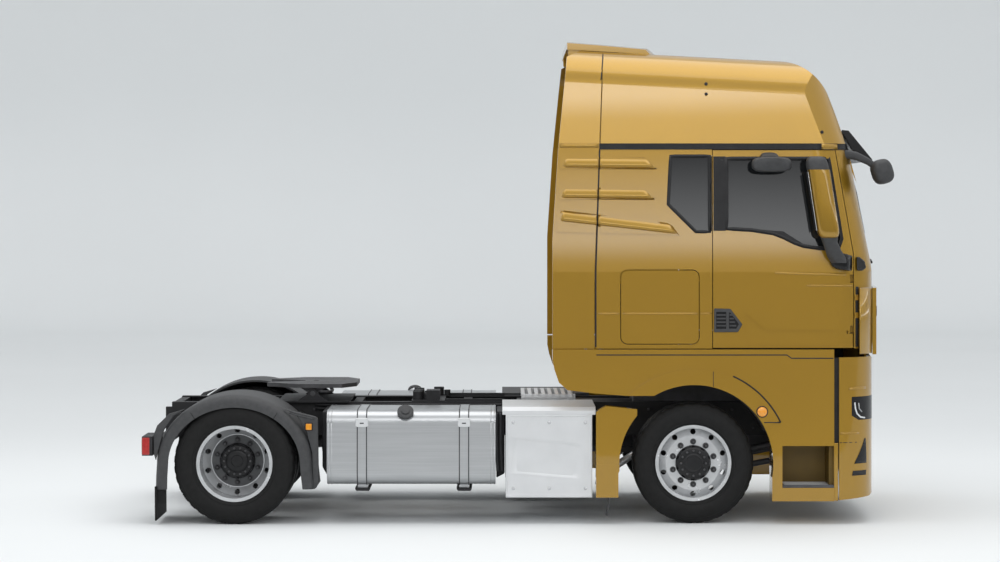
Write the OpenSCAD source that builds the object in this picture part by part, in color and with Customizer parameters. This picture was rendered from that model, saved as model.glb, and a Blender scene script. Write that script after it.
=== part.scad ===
// Two-axle tractor unit with a high-roof cab over the engine.
// Facing +X, left side at +Y, tyres standing on Z = 0. Lengths along X are given from the front axle.

/* [Wheels] */
// Outer diameter of every tyre
tyre_d = 950; // [930:5:970]
// Width of one tyre
tyre_w = 300; // [285:5:310]
// Outside diameter of the rim flanges
rim_d = 597; // [590:1:604]
// Distance between the front and rear axles
wheelbase = 3600; // [3550:10:3700]
// Distance between the middles of the front tyres
front_track = 2050; // [2020:10:2070]
// Width over the outer rear tyres
rear_w = 2480; // [2460:5:2500]
// Distance between the middles of two twin tyres
twin_pitch = 335; // [330:1:345]
// Radius of the wheel hubs
hub_r = 137; // [125:1:145]
// Hand holes in a wheel disc
hand_holes = 10; // [8:1:12]

/* [Frame] */
// Height of the top of the frame rails
rail_top = 900; // [890:1:910]
// Height of a frame rail
rail_h = 270; // [250:5:290]
// Flange width of a frame rail
rail_flange = 80; // [70:1:90]
// Sheet thickness of a frame rail
rail_t = 9; // [7:0.5:12]
// Width over the frame rails
rail_w = 770; // [750:5:790]
// Length of the rails behind the rear axle
rail_tail = 590; // [560:5:620]
// Length of the rails in front of the front axle
rail_nose = 1050; // [1030:5:1060]

/* [Axles] */
// Distance from the vehicle's middle to a king pin
king_pin_y = 870; // [860:1:880]
// Radius of a king pin
king_pin_r = 22; // [18:0.5:26]
// Radius of a front wheel spindle
front_spindle_r = 40; // [35:1:45]
// Radius of a rear wheel spindle
rear_spindle_r = 50; // [45:1:55]
// Running clearance on pins and spindles
run_gap = 0.3; // [0.2:0.05:0.5]

/* [Cab] */
// Width of the cab
cab_w = 2450; // [2430:5:2470]
// Height of the cab's lower edge
cab_base = 1378; // [1376:1:1384]
// Distance of the cab's rear wall behind the front axle
cab_rear = 770; // [760:1:780]
// Reach of the cab's nose in front of the front axle
nose_x = 1499; // [1493:1:1505]
// Thickness of the cab's walls and doors
wall = 60; // [50:1:66]
// Gap round doors and lids
seam = 6; // [5.5:0.5:7]
// Height where the black roof ring starts
ring_z = 2938; // [2934:1:2942]
// Height of the roof ring
ring_h = 48; // [40:1:52]
// Height of the roof at its rear edge
roof_z = 3726; // [3705:1:3745]
// Thickness of the roof shell
roof_t = 40; // [30:1:45]

/* [Doors and lids] */
// Rear edge of the doors
door_rear_x = 149; // [140:1:160]
// Front edge of the doors below the window line
door_front_x = 1251; // [1245:1:1255]
// Lower edge of the doors
door_z = 1384; // [1382:1:1390]
// Width of a locker lid
locker_w = 609; // [590:1:620]
// Height of a locker lid
locker_h = 575; // [560:1:585]
// Corner radius of a locker lid
locker_r = 52; // [40:1:60]

/* [Tank and boxes] */
// Length of a fuel tank
tank_l = 1322; // [1280:2:1340]
// Height of a fuel tank
tank_h = 583; // [560:1:600]
// Depth of a fuel tank
tank_d = 690; // [660:5:700]
// Corner radius of a fuel tank
tank_r = 95; // [70:1:110]
// Length of the silencer box
box_l = 678; // [660:1:690]
// Height of the silencer box
box_h = 652; // [630:1:660]

/* [Fifth wheel] */
// Distance of the coupling's pivot in front of the rear axle
coupling_lead = 560; // [540:5:580]
// Height of the coupling plate's top
coupling_z = 1050; // [1045:1:1056]
// Radius of the king pin seat in the jaw
jaw_r = 25.5; // [25.4:0.1:25.8]
// Thickness of the coupling plate
plate_t = 32; // [28:1:36]

/* [Hidden] */
$fn = 96;

// Reach of the front mirror and of the tail lamps, and the front axle's place between them
mirror_reach = 1594;
tail_reach = wheelbase + 722;
front_axle_x = (tail_reach - mirror_reach) / 2;

gold = "#a97b1c";
black = "#1c1d1f";
dark = "#3a3c3f";
silver = "#c4c7c9";
glass = "#30343a";
cloth = "#55585c";

axle_z = tyre_d / 2;
rail_y = rail_w / 2;
rail_z = rail_top - rail_h;
rear_x = -wheelbase;
// A gap that lets two solids seat without sharing volume
seat_gap = 0.3;
far = 6000;
// Lets round corners cross their neighbours at a slight angle
tangent_play = 0.5;
// Depth of the flat at the middle of a bowed front
flat_play = 0.8;

// Moves a piece from the front axle's frame to the part's frame
module placed() {
  translate([front_axle_x, 0, 0]) children();
}

// A piece drawn on the left and its mirror image on the right
module both_sides() {
  children();
  mirror([0, 1, 0]) children();
}

// side is 1 on the left and -1 on the right
module on_side(side) {
  if (side > 0) children();
  else mirror([0, 1, 0]) children();
}

// Box from its low and high corners
module span(low, high) {
  translate(low) cube(high - low);
}

// Outline in X and Z, extruded from y0 to y1
module side_plate(y0, y1) {
  translate([0, y1, 0]) rotate([90, 0, 0]) linear_extrude(y1 - y0) children();
}

// Outline in Y and Z, extruded from x0 to x1
module cross_plate(x0, x1) {
  translate([x0, 0, 0]) rotate([90, 0, 90]) linear_extrude(x1 - x0) children();
}

// Cylinder along Y
module cross_rod(x, z, r, y0, y1) {
  translate([x, y1, z]) rotate([90, 0, 0]) cylinder(h = y1 - y0, r = r);
}

// Turned piece on a cross axis: the outline holds radius and distance outboard
module wheel_turned(x, y) {
  translate([x, y, axle_z]) rotate([-90, 0, 0]) rotate_extrude($fn = 180) children();
}

module rounded_rect(low, high, r) {
  translate([low.x + r, low.y]) square([high.x - low.x - 2 * r, high.y - low.y]);
  translate([low.x, low.y + r]) square([high.x - low.x, high.y - low.y - 2 * r]);
  for (x = [low.x + r, high.x - r], y = [low.y + r, high.y - r]) translate([x, y]) circle(r);
}

// Wheels
tyre_r = tyre_d / 2;
flange_r = rim_d / 2;
flange_t = 11;
rim_half = 125;
bead_r = flange_r - 12;
rim_t = 14;
sidewall_r = 190;
front_y = front_track / 2;
outer_y = rear_w / 2 - tyre_w / 2;
inner_y = outer_y - twin_pitch;
twin_y = (outer_y + inner_y) / 2;

// Radius and distance outboard of one tyre's section
module tyre_section() {
  bulge = sidewall_r - tyre_w / 2;
  bulge_r = (tyre_r + bead_r) / 2 - 10;
  difference() {
    intersection() {
      translate([bulge_r, bulge]) circle(sidewall_r, $fn = 128);
      translate([bulge_r, -bulge]) circle(sidewall_r, $fn = 128);
      translate([bead_r + seat_gap, -tyre_w]) square([tyre_r - bead_r - seat_gap, 2 * tyre_w]);
    }
    for (s = [-1, 1]) translate([0, s * rim_half - (s > 0 ? flange_t + seat_gap : tyre_w)])
      square([flange_r + seat_gap, tyre_w + flange_t + seat_gap]);
  }
}

module tyre(x, y) {
  wheel_turned(x, y) tyre_section();
}

// Rim well with its two flanges
module barrel_section() {
  translate([bead_r - rim_t, -rim_half]) square([rim_t, 2 * rim_half]);
  for (s = [-1, 1]) translate([bead_r - rim_t, s > 0 ? rim_half - flange_t : -rim_half])
    square([flange_r - bead_r + rim_t, flange_t]);
}

// Disc outlines run from the rim well to the hub: inset is where the disc meets the well
disc_t = 13;
well_r = bead_r - rim_t + 1;
module disc_section(well_at, hub_at) {
  shoulder_r = hub_r + 78;
  polygon([
    [hub_r - 5, hub_at], [shoulder_r, hub_at], [well_r, well_at],
    [well_r, well_at - disc_t * 1.6], [shoulder_r - 4, hub_at - disc_t], [hub_r - 5, hub_at - disc_t]
  ]);
}

module hand_hole_cuts(x, y) {
  hole_at = (hub_r + 78 + well_r) / 2;
  for (i = [0 : hand_holes - 1]) translate([x, y, axle_z]) rotate([0, (i + 0.5) * 360 / hand_holes, 0])
    translate([hole_at, 0, 0]) rotate([90, 0, 0]) cylinder(h = 700, r = 21, center = true);
}

front_disc_at = 104;
module front_rim() {
  difference() {
    union() {
      wheel_turned(0, front_y) barrel_section();
      wheel_turned(0, front_y) disc_section(62, front_disc_at);
    }
    hand_hole_cuts(0, front_y);
  }
  difference() {
    wheel_turned(0, front_y) polygon([
      [0, -40], [hub_r, -40], [hub_r, front_disc_at + 8], [hub_r - 18, front_disc_at + 34],
      [0, front_disc_at + 34]
    ]);
    cross_rod(0, axle_z, front_spindle_r + run_gap, front_y - 100, spindle_end + run_gap);
  }
}
spindle_end = front_y + 70;

module rear_rims() {
  difference() {
    union() {
      wheel_turned(rear_x, outer_y) barrel_section();
      wheel_turned(rear_x, inner_y) barrel_section();
      wheel_turned(rear_x, twin_y) disc_section(-55, 0);
      wheel_turned(rear_x, twin_y) mirror([0, 1]) disc_section(-55, 0);
    }
    hand_hole_cuts(rear_x, twin_y);
  }
  difference() {
    wheel_turned(rear_x, twin_y) polygon([
      [0, -110], [hub_r, -110], [hub_r, 40], [hub_r - 16, 62], [0, 62]
    ]);
    cross_rod(rear_x, axle_z, rear_spindle_r + run_gap, twin_y - 200, rear_spindle_end + run_gap);
  }
}
rear_spindle_end = twin_y + 20;

module tyre_front_right() { color(black) placed() on_side(-1) tyre(0, front_y); }
module tyre_front_left() { color(black) placed() on_side(1) tyre(0, front_y); }
module rim_front_right() { color(silver) placed() on_side(-1) front_rim(); }
module rim_front_left() { color(silver) placed() on_side(1) front_rim(); }
module twin_tyres() {
  tyre(rear_x, outer_y);
  tyre(rear_x, inner_y);
}
module tyres_rear_right() { color(black) placed() on_side(-1) twin_tyres(); }
module tyres_rear_left() { color(black) placed() on_side(1) twin_tyres(); }
module rims_rear_right() { color(dark) placed() on_side(-1) rear_rims(); }
module rims_rear_left() { color(dark) placed() on_side(1) rear_rims(); }

// Front axle beam with an eye for each king pin, and the knuckles that turn there
eye_h = 140;
eye_r = 52;
ear_t = 42;
ear_gap = 1;
ear_reach = 66;
beam_top = axle_z - 30;
beam_h = 110;
module front_axle() {
  color(dark) placed() {
    difference() {
      union() {
        span([-45, -640, beam_top - beam_h], [45, 640, beam_top]);
        both_sides() span([-40, 620, axle_z - eye_h / 2 + 5], [40, king_pin_y, axle_z + eye_h / 2 - 20]);
        both_sides() translate([0, king_pin_y, axle_z - eye_h / 2]) cylinder(h = eye_h, r = eye_r);
      }
      both_sides() translate([0, king_pin_y, 0]) cylinder(h = 2 * axle_z, r = king_pin_r + run_gap);
    }
  }
}

module knuckle() {
  low = axle_z - eye_h / 2 - ear_gap - ear_t;
  high = axle_z + eye_h / 2 + ear_gap + ear_t;
  for (z = [low, high - ear_t]) translate([0, king_pin_y, z]) cylinder(h = ear_t, r = eye_r);
  for (z = [low, high - ear_t])
    span([-eye_r, king_pin_y, z], [eye_r, king_pin_y + ear_reach + 24, z + ear_t]);
  translate([0, king_pin_y, low]) cylinder(h = high - low, r = king_pin_r);
  span([-eye_r, king_pin_y + ear_reach, low], [eye_r, king_pin_y + ear_reach + 24, high]);
  cross_rod(0, axle_z, front_spindle_r, king_pin_y + ear_reach + 10, spindle_end);
}
module knuckle_right() { color(dark) placed() on_side(-1) knuckle(); }
module knuckle_left() { color(dark) placed() on_side(1) knuckle(); }

// Ladder frame
module rail() {
  cross_plate(rear_x - rail_tail, rail_nose) polygon([
    [rail_y, rail_z], [rail_y, rail_top], [rail_y - rail_flange, rail_top],
    [rail_y - rail_flange, rail_top - rail_t], [rail_y - rail_t, rail_top - rail_t],
    [rail_y - rail_t, rail_z + rail_t], [rail_y - rail_flange, rail_z + rail_t],
    [rail_y - rail_flange, rail_z]
  ]);
}
module frame_rails() { color(black) placed() both_sides() rail(); }

// Cab tilt pivots stand on the rail ends, and crossmembers tie the rails
pivot_x = 1250;
pivot_z = 1000;
pivot_r = 20;
bracket_y0 = rail_y - rail_flange;
bracket_y1 = rail_y - 25;
member_h = 120;
member_w = 70;
// Places of the crossmembers from the front axle
members_x = [rail_nose - 150, -1750, -2650, rear_x + 230, rear_x - rail_tail + member_w];
module crossmembers() {
  color(black) placed() {
    for (x = members_x) difference() {
      span(
        [x - member_w, -rail_y + rail_t, rail_top - rail_t - member_h],
        [x, rail_y - rail_t, rail_top - rail_t]);
      span([x - member_w + 8, -far, rail_top - rail_t - member_h - 1], [x - 8, far, rail_top - rail_t - 8]);
    }
    both_sides() difference() {
      side_plate(bracket_y0, bracket_y1) {
        polygon([
          [rail_nose - 240, rail_top], [rail_nose - 20, rail_top], [pivot_x - 10, pivot_z - 34],
          [pivot_x - 10, pivot_z + 34], [rail_nose - 240, rail_top + 90]
        ]);
        translate([pivot_x, pivot_z]) circle(34);
      }
      cross_rod(pivot_x, pivot_z, pivot_r + run_gap, 0, far);
    }
  }
}

module engine() {
  color("#5b5e62") placed() {
    difference() {
      span([-430, -290, rail_z - 110], [740, 290, 1250]);
      both_sides() translate([0, 290, 1250]) rotate([0, 90, 0])
        cylinder(h = far, r = 90, center = true, $fn = 8);
    }
    span([-300, -200, rail_z - 170], [520, 200, rail_z - 110]);
    both_sides() span([180, 280, rail_z + 60], [320, rail_y - rail_t - seat_gap, rail_z + 180]);
  }
}

prop_r = 62;
diff_r = 215;
module driveline() {
  color("#4a4d50") placed() {
    cross_plate(-1380, -430) translate([0, 690]) circle(215);
    span([-1250, -150, 475], [-700, 150, 690]);
    translate([-1380, 0, 690]) rotate([0, -90 - prop_drop, 0]) cylinder(h = prop_l, r = prop_r);
  }
}
prop_end_x = rear_x + diff_r + 90;
prop_drop = atan((690 - axle_z - 60) / (-1380 - prop_end_x));
prop_l = (-1380 - prop_end_x) / cos(prop_drop) - 20;

spring_w = 76;
spring_t = 46;
spring_y = rail_y - rail_flange / 2;
spring_half = 790;
spring_rise = 110;
spring_bow_r = (spring_half * spring_half + spring_rise * spring_rise) / (2 * spring_rise);
module front_springs() {
  color(black) placed() both_sides() {
    side_plate(spring_y - spring_w / 2, spring_y + spring_w / 2) difference() {
      intersection() {
        translate([0, beam_top + spring_bow_r]) circle(spring_bow_r, $fn = 400);
        translate([-spring_half, beam_top - spring_t]) square([2 * spring_half, spring_rise + 3 * spring_t]);
      }
      translate([0, beam_top + spring_bow_r + spring_t]) circle(spring_bow_r, $fn = 400);
    }
    for (x = [-spring_half + 60, spring_half - 60])
      span([x - 40, spring_y - 35, beam_top + spring_rise + spring_t - 40], [x + 40, spring_y + 35, rail_z]);
  }
}

arm_drop = 28;
arm_h = 50;
arm_y = rail_y - 40;
bag_r = 118;
bag_at = 420;
tube_r = 72;
module rear_axle() {
  color(dark) placed() {
    cross_rod(rear_x, axle_z, tube_r, -twin_y + 112, twin_y - 112);
    both_sides() cross_rod(rear_x, axle_z, rear_spindle_r, twin_y - 114, rear_spindle_end);
    translate([rear_x, 0, axle_z]) rotate([90, 0, 0]) rotate_extrude() polygon([
      [0, -230], [110, -230], [diff_r, -110], [diff_r, 110], [110, 230], [0, 230]
    ]);
    translate([rear_x + diff_r - 30, 0, axle_z + 60]) rotate([0, 90, 0]) cylinder(h = 110, r = 95);
    both_sides()
      span([rear_x - 90, arm_y - 50, axle_z - tube_r - arm_drop], [rear_x + 90, arm_y + 50, axle_z]);
  }
}
module rear_suspension() {
  arm_top = axle_z - tube_r - arm_drop;
  color(black) placed() both_sides() {
    span([rear_x - bag_at - 130, arm_y - 45, arm_top - arm_h], [rear_x + bag_at + 130, arm_y + 45, arm_top]);
    for (x = [rear_x - bag_at, rear_x + bag_at]) translate([x, arm_y, arm_top]) rotate_extrude()
      difference() {
        square([bag_r, rail_z - arm_top]);
        translate([bag_r + 14, (rail_z - arm_top) / 2]) circle(26);
      }
  }
}

// Fuel tanks hang on brackets outside the rails, held by two straps each
tank_rear_x = -2876;
tank_z = 309;
body_y = 1215;
strap_t = 4;
strap_w = 80;
// Front edges of the straps
straps_x = [-2561, -1761];
cap_at = 616;
module tank_outline(grow = 0) {
  rounded_rect(
    [body_y - tank_d - grow, tank_z - grow], [body_y + grow, tank_z + tank_h + grow], tank_r + grow);
}
module fuel_tanks() {
  color(silver) placed() both_sides() {
    cross_plate(tank_rear_x, tank_rear_x + tank_l) tank_outline();
    translate([tank_rear_x + cap_at, body_y - tank_r * 0.42, tank_z + tank_h - tank_r * 0.42])
      rotate([-50, 0, 0]) cylinder(h = 52, r = 56);
  }
}
module tank_straps() {
  shelf_t = 30;
  ring_low = tank_z - seat_gap - strap_t;
  color(dark) placed() both_sides() for (x = straps_x) {
    cross_plate(x - strap_w, x) difference() {
      tank_outline(seat_gap + strap_t);
      tank_outline(seat_gap);
    }
    span([x - strap_w, rail_y, rail_z + 10], [x, body_y - tank_d - seat_gap - 1, rail_top - 20]);
    span([x - strap_w, rail_y, ring_low - shelf_t], [x, body_y - 150, ring_low + 2]);
    span([x - strap_w, rail_y, ring_low - 1], [x, rail_y + 60, rail_z + 20]);
  }
}

// Silencer box on the right and battery box on the left share their outline
box_rear_x = -1474;
box_z = 207;
box_y = 1200;
lid_h = 60;
lid_over = 26;
edge = 14;
// Box with its long outer edges broken
module chassis_box() {
  cross_plate(box_rear_x, box_rear_x + box_l) polygon([
    [rail_y, box_z], [box_y - edge, box_z], [box_y, box_z + edge], [box_y, box_z + box_h],
    [rail_y, box_z + box_h]
  ]);
  cross_plate(box_rear_x - lid_over, box_rear_x + box_l + lid_over) polygon([
    [rail_y, box_z + box_h], [box_y + 4, box_z + box_h], [box_y + 4, box_z + box_h + lid_h - 30],
    [box_y - 26, box_z + box_h + lid_h], [rail_y, box_z + box_h + lid_h]
  ]);
}
module silencer_box() {
  recess = 10;
  color(silver) placed() mirror([0, 1, 0]) difference() {
    chassis_box();
    side_plate(box_y - recess, far) polygon([
      [box_rear_x + 30, box_z + 480], [box_rear_x + 555, box_z + 432], [box_rear_x + 622, box_z + 392],
      [box_rear_x + 600, box_z + 180], [box_rear_x + 560, box_z + 150], [box_rear_x + 30, box_z + 190]
    ]);
  }
}
module battery_box() {
  color(dark) placed() difference() {
    chassis_box();
    for (i = [0 : 3]) side_plate(box_y - 8, far)
      translate([box_rear_x + 40, box_z + 70 + i * 140]) square([box_l - 80, 100]);
  }
}

// Slatted walkway over the rails behind the cab
walk_rear_x = -1345;
walk_front_x = -905;
walk_h = 62;
slat_pitch = 55;
module catwalk() {
  color(silver) placed() {
    both_sides() span([walk_rear_x, rail_y - 60, rail_top], [walk_front_x, rail_y - 30, rail_top + walk_h]);
    for (x = [walk_rear_x : slat_pitch : walk_front_x - 30])
      span([x, -rail_y, rail_top + walk_h - 26], [x + 30, rail_y, rail_top + walk_h]);
  }
}

// Air valve block between the rails, and the pipe run along the right rail
module air_valves() {
  color(dark) placed() {
    span([-2240, -rail_y + 20, rail_top], [-1970, rail_y - 20, rail_top + 10]);
    for (p = [[-2190, -250], [-2190, -80], [-2190, 120], [-2030, 260]]) {
      translate([p.x, p.y, rail_top + 10]) cylinder(h = 70, r = 42);
      translate([p.x + 70, p.y, rail_top + 10]) cylinder(h = 46, r = 26);
    }
    span([-2120, -330, rail_top + 10], [-2010, -150, rail_top + 90]);
    both_sides() span([-1970, rail_y - 60, rail_top], [-1480, rail_y - 40, rail_top + 24]);
  }
}

// Plan of the cab and bumper: a bowed front with round corners
plan_r = 6600;
front_reach = nose_x + 26;
axis_x = front_reach - plan_r;
corner_r = 320;
bumper_y = 1240;
bumper_rear_x = 1135;
bumper_t = 45;
function corner_x(front, half) =
  axis_x + sqrt(pow(front - axis_x - corner_r, 2) - pow(half - corner_r, 2));

// Outline in X and Y, drawn in by inset
module bowed_plan(front, half, inset) {
  cx = corner_x(front, half);
  cy = half - corner_r;
  turn = atan2(cy, cx - axis_x);
  difference() {
    intersection() {
      translate([axis_x, 0]) circle(front - axis_x - inset, $fn = 720);
      translate([-3000, -half + inset]) square([6000, 2 * half - 2 * inset]);
    }
    for (s = [-1, 1]) difference() {
      polygon([
        [cx, s * cy], [cx, s * (cy + 2 * corner_r)], [cx + 2 * corner_r, s * (cy + 2 * corner_r)],
        [cx + 2 * corner_r * cos(turn), s * (cy + 2 * corner_r * sin(turn))]
      ]);
      translate([cx, s * cy]) circle(corner_r + tangent_play - inset, $fn = 128);
    }
  }
}

bumper_low = 193;
bumper_high = 1310;
bumper_mid = 815;
bumper_mid_y = 740;
module bumper_shell() {
  intersection() {
    difference() {
      translate([0, 0, bumper_low]) linear_extrude(bumper_high - bumper_low) bowed_plan(nose_x, bumper_y, 0);
      translate([0, 0, bumper_low - 1]) linear_extrude(far) bowed_plan(nose_x, bumper_y, bumper_t);
      span([-far, -bumper_mid_y, bumper_mid], [far, bumper_mid_y, far]);
    }
    side_plate(-far, far) polygon([
      [bumper_rear_x, bumper_low], [nose_x - 106, bumper_low + 20], [nose_x - 30, bumper_low + 66],
      [nose_x, bumper_low + 144], [nose_x, bumper_high - 120], [nose_x - 40, bumper_high - 30],
      [nose_x - 90, bumper_high], [bumper_rear_x, bumper_high]
    ]);
  }
}
// Headlamp glass in the bumper's corners, narrowing towards the side
lamp_low = 816;
lamp_high = 1010;
lamp_side_x = 1236;
module lamp_region(gap) {
  both_sides() intersection() {
    span([lamp_side_x + gap, bumper_mid_y + 40 + gap, 0], [far, far, far]);
    side_plate(0, far) polygon([
      [lamp_side_x - 40, lamp_low + 60 + gap], [lamp_side_x + 60, lamp_low + gap], [far, lamp_low + gap],
      [far, lamp_high - gap], [lamp_side_x - 40, lamp_high - 10 - gap]
    ]);
  }
}
intake_y = 560;
intake_low = 420;
intake_high = 720;
bars = 5;
module front_bumper() {
  color(gold) placed() {
    difference() {
      bumper_shell();
      lamp_region(0);
      span([0, -intake_y, intake_low], [far, intake_y, intake_high]);
    }
    intersection() {
      bumper_shell();
      for (i = [1 : bars]) span(
        [0, -intake_y - 5, intake_low + i * (intake_high - intake_low) / (bars + 1) - 10],
        [far, intake_y + 5, intake_low + i * (intake_high - intake_low) / (bars + 1) + 10]);
    }
    both_sides() span([rail_nose, rail_y - 60, rail_z + 20], [nose_x - bumper_t + 10, rail_y, rail_z + 80]);
  }
}
module headlamps() {
  color("#d8dde2") placed() intersection() {
    bumper_shell();
    lamp_region(seat_gap);
  }
}

// Front fenders: lower body with the wheel arch, its flare and the step well
fender_y = 1240;
fender_t = 140;
fender_top = cab_base - seam;
fender_front_x = 1096;
arch_r = 620;
flare_r = 745;
flare_t = 16;
step_x = 611;
step_low = 184;
step_high = 640;
step_in_y = 880;
well_x = 691;
well_low = 289;
well_high = 617;
module fender_outline() {
  difference() {
    union() {
      polygon([
        [-1108, fender_top], [-1108, 1290], [-1092, 1211], [-1058, 1113], [-991, 1054], [-775, 1028],
        [-540, 1010], [fender_front_x, 1010], [fender_front_x, fender_top]
      ]);
      polygon([
        [0, 1011], [fender_front_x, 1011], [fender_front_x, step_low], [step_x, step_low],
        [step_x, axle_z], [0, axle_z]
      ]);
    }
    translate([0, axle_z]) circle(arch_r, $fn = 180);
  }
}
module fenders() {
  color(gold) placed() both_sides() difference() {
    union() {
      side_plate(fender_y - fender_t, fender_y) fender_outline();
      span([arch_r + 5, step_in_y, step_low], [fender_front_x, fender_y - fender_t + 1, step_high]);
      side_plate(fender_y - 1, fender_y + flare_t) intersection() {
        translate([0, axle_z]) difference() {
          circle(flare_r, $fn = 180);
          circle(arch_r, $fn = 180);
        }
        polygon([
          [0, axle_z], [900 * cos(27), axle_z + 900 * sin(27)], [900, 1360], [-900, 1360], [-900, 1010],
          [-300, 1010]
        ]);
      }
      span([step_x + 120, rail_y, step_high - 60], [step_x + 200, step_in_y + 1, step_high]);
    }
    span([well_x, step_in_y + 50, well_low], [far, far, well_high]);
  }
}

liner_t = 18;
liner_in_y = 640;
module arch_liners() {
  liner_r = arch_r + 10;
  color(black) placed() both_sides() side_plate(liner_in_y, fender_y - fender_t - seat_gap) intersection() {
    translate([0, axle_z]) difference() {
      circle(liner_r, $fn = 180);
      circle(liner_r - liner_t, $fn = 180);
    }
    polygon([
      [0, axle_z], [900 * cos(24), axle_z + 900 * sin(24)], [900, 1500], [-900, 1500], [-900, 1010],
      [-300, 1010]
    ]);
  }
}

skirt_rear_x = -767;
skirt_front_x = -592;
skirt_low = 213;
skirt_high = 929;
skirt_arch_x = -446;
skirt_r = 585;
module side_skirts() {
  color(gold) placed() both_sides() {
    side_plate(fender_y - 110, fender_y) difference() {
      polygon([
        [skirt_rear_x, skirt_low], [skirt_front_x, skirt_low], [skirt_front_x, skirt_low + 190],
        [skirt_arch_x, skirt_high - 200], [skirt_arch_x, skirt_high - 25], [skirt_rear_x + 80, skirt_high],
        [skirt_rear_x, skirt_high - 45]
      ]);
      translate([0, axle_z]) circle(skirt_r, $fn = 180);
    }
    span([skirt_rear_x + 20, rail_y, rail_z + 60], [skirt_rear_x + 80, fender_y - 109, rail_z + 130]);
  }
}

// Rear mudguards in one curve over each twin pair, with flaps behind
guard_r = 585;
guard_t = 22;
guard_in_y = 590;
guard_y = 1246;
guard_lip = 84;
guard_leg = 43;
guard_low = 275;
module guard_outline(t) {
  intersection() {
    translate([rear_x, axle_z]) difference() {
      circle(guard_r, $fn = 180);
      circle(guard_r - t, $fn = 180);
    }
    translate([rear_x - far / 2, axle_z]) square([far, far]);
  }
  for (s = [-1, 1]) polygon([
    [rear_x + s * guard_r, axle_z + 1], [rear_x + s * (guard_r + guard_leg), guard_low],
    [rear_x + s * (guard_r + guard_leg - t), guard_low], [rear_x + s * (guard_r - t), axle_z + 1]
  ]);
}
// Side panels that fill the corners in front of and behind the curve
panel_front_x = 640;
panel_rear_x = 634;
module guard_panels() {
  difference() {
    translate([rear_x, 0]) union() {
      polygon([
        [390, 955], [panel_front_x, 865], [panel_front_x, 310], [guard_r + guard_leg, guard_low],
        [480, guard_low]
      ]);
      polygon([
        [-400, 935], [-panel_rear_x + 20, 800], [-panel_rear_x, 600], [-guard_r - guard_leg, 420], [-480, 420]
      ]);
    }
    translate([rear_x, axle_z]) circle(guard_r - guard_t / 2, $fn = 180);
    for (s = [-1, 1]) polygon([
      [rear_x, axle_z], [rear_x + s * (guard_r - guard_t / 2), axle_z],
      [rear_x + s * (guard_r + guard_leg - guard_t / 2), 0], [rear_x, 0]
    ]);
  }
}
module rear_mudguards() {
  stay_r = guard_r - guard_t / 2;
  flap_x = rear_x - guard_r - guard_leg + guard_t;
  color(dark) placed() both_sides() {
    side_plate(guard_in_y, guard_y - 19) guard_outline(guard_t);
    side_plate(guard_y - 20, guard_y) guard_outline(guard_lip);
    side_plate(guard_y - 51, guard_y - 21) guard_panels();
    for (a = [30, 150])
      cross_rod(rear_x + stay_r * cos(a), axle_z + stay_r * sin(a), 20, rail_y, guard_in_y + 20);
    side_plate(guard_in_y + 10, guard_y - 6) polygon([
      [flap_x - 12, guard_low + 30], [flap_x + 4, guard_low + 30], [flap_x + 130, 31], [flap_x + 118, 31]
    ]);
  }
}

// Rear lamps on a bar across the rail ends
lamp_bar_t = 50;
module tail_lamps() {
  rail_end = rear_x - rail_tail;
  color("#8c1414") placed() {
    span([rail_end - lamp_bar_t, -1190, 575], [rail_end, 1190, 665]);
    both_sides() {
      span([rail_end - lamp_bar_t, rail_y - 50, 600], [rail_end, rail_y, rail_top - 40]);
      span([-tail_reach, 860, 540], [rail_end - lamp_bar_t, 1235, 690]);
    }
  }
}

// Fifth wheel: base with two bearing blocks, and the plate that tips on them
coupling_x = rear_x + coupling_lead;
pivot_drop = 45;
coupling_pivot_z = coupling_z - plate_t - pivot_drop;
bearing_r = 38;
bearing_y0 = 385;
bearing_y1 = 440;
coupling_pin_r = 20;
module fifth_wheel_base() {
  color(black) placed() {
    span([coupling_x - 290, -450, rail_top], [coupling_x + 300, 450, rail_top + 12]);
    both_sides() difference() {
      side_plate(bearing_y0, bearing_y1) {
        translate([coupling_x, coupling_pivot_z]) circle(bearing_r);
        polygon([
          [coupling_x - 120, rail_top + 11], [coupling_x + 120, rail_top + 11],
          [coupling_x + bearing_r, coupling_pivot_z], [coupling_x - bearing_r, coupling_pivot_z]
        ]);
      }
      cross_rod(coupling_x, coupling_pivot_z, coupling_pin_r + run_gap, 0, far);
    }
  }
}
plate_front = 348;
plate_rear = 386;
plate_half = 450;
throat_w = 64;
module fifth_wheel_plate() {
  lug_y0 = 310;
  lug_y1 = bearing_y0 - 1;
  color("#2a2b2d") placed() {
    difference() {
      translate([coupling_x, 0, coupling_z - plate_t]) linear_extrude(plate_t) difference() {
        polygon([
          [plate_front, -240], [plate_front, 240], [plate_front - 110, plate_half], [-120, plate_half],
          [-plate_rear, 250], [-plate_rear, -250], [-120, -plate_half], [plate_front - 110, -plate_half]
        ]);
        polygon([[-plate_rear - 1, -190], [-90, -throat_w / 2], [-90, throat_w / 2], [-plate_rear - 1, 190]]);
      }
      translate([coupling_x, 0, 0]) cylinder(h = far, r = jaw_r);
    }
    both_sides() {
      side_plate(lug_y0, lug_y1) {
        translate([coupling_x, coupling_pivot_z]) circle(bearing_r);
        polygon([
          [coupling_x - 110, coupling_z - plate_t + 1], [coupling_x + 110, coupling_z - plate_t + 1],
          [coupling_x + bearing_r, coupling_pivot_z], [coupling_x - bearing_r, coupling_pivot_z]
        ]);
      }
      cross_rod(coupling_x, coupling_pivot_z, coupling_pin_r, lug_y1 - 10, bearing_y1);
    }
  }
}

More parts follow.
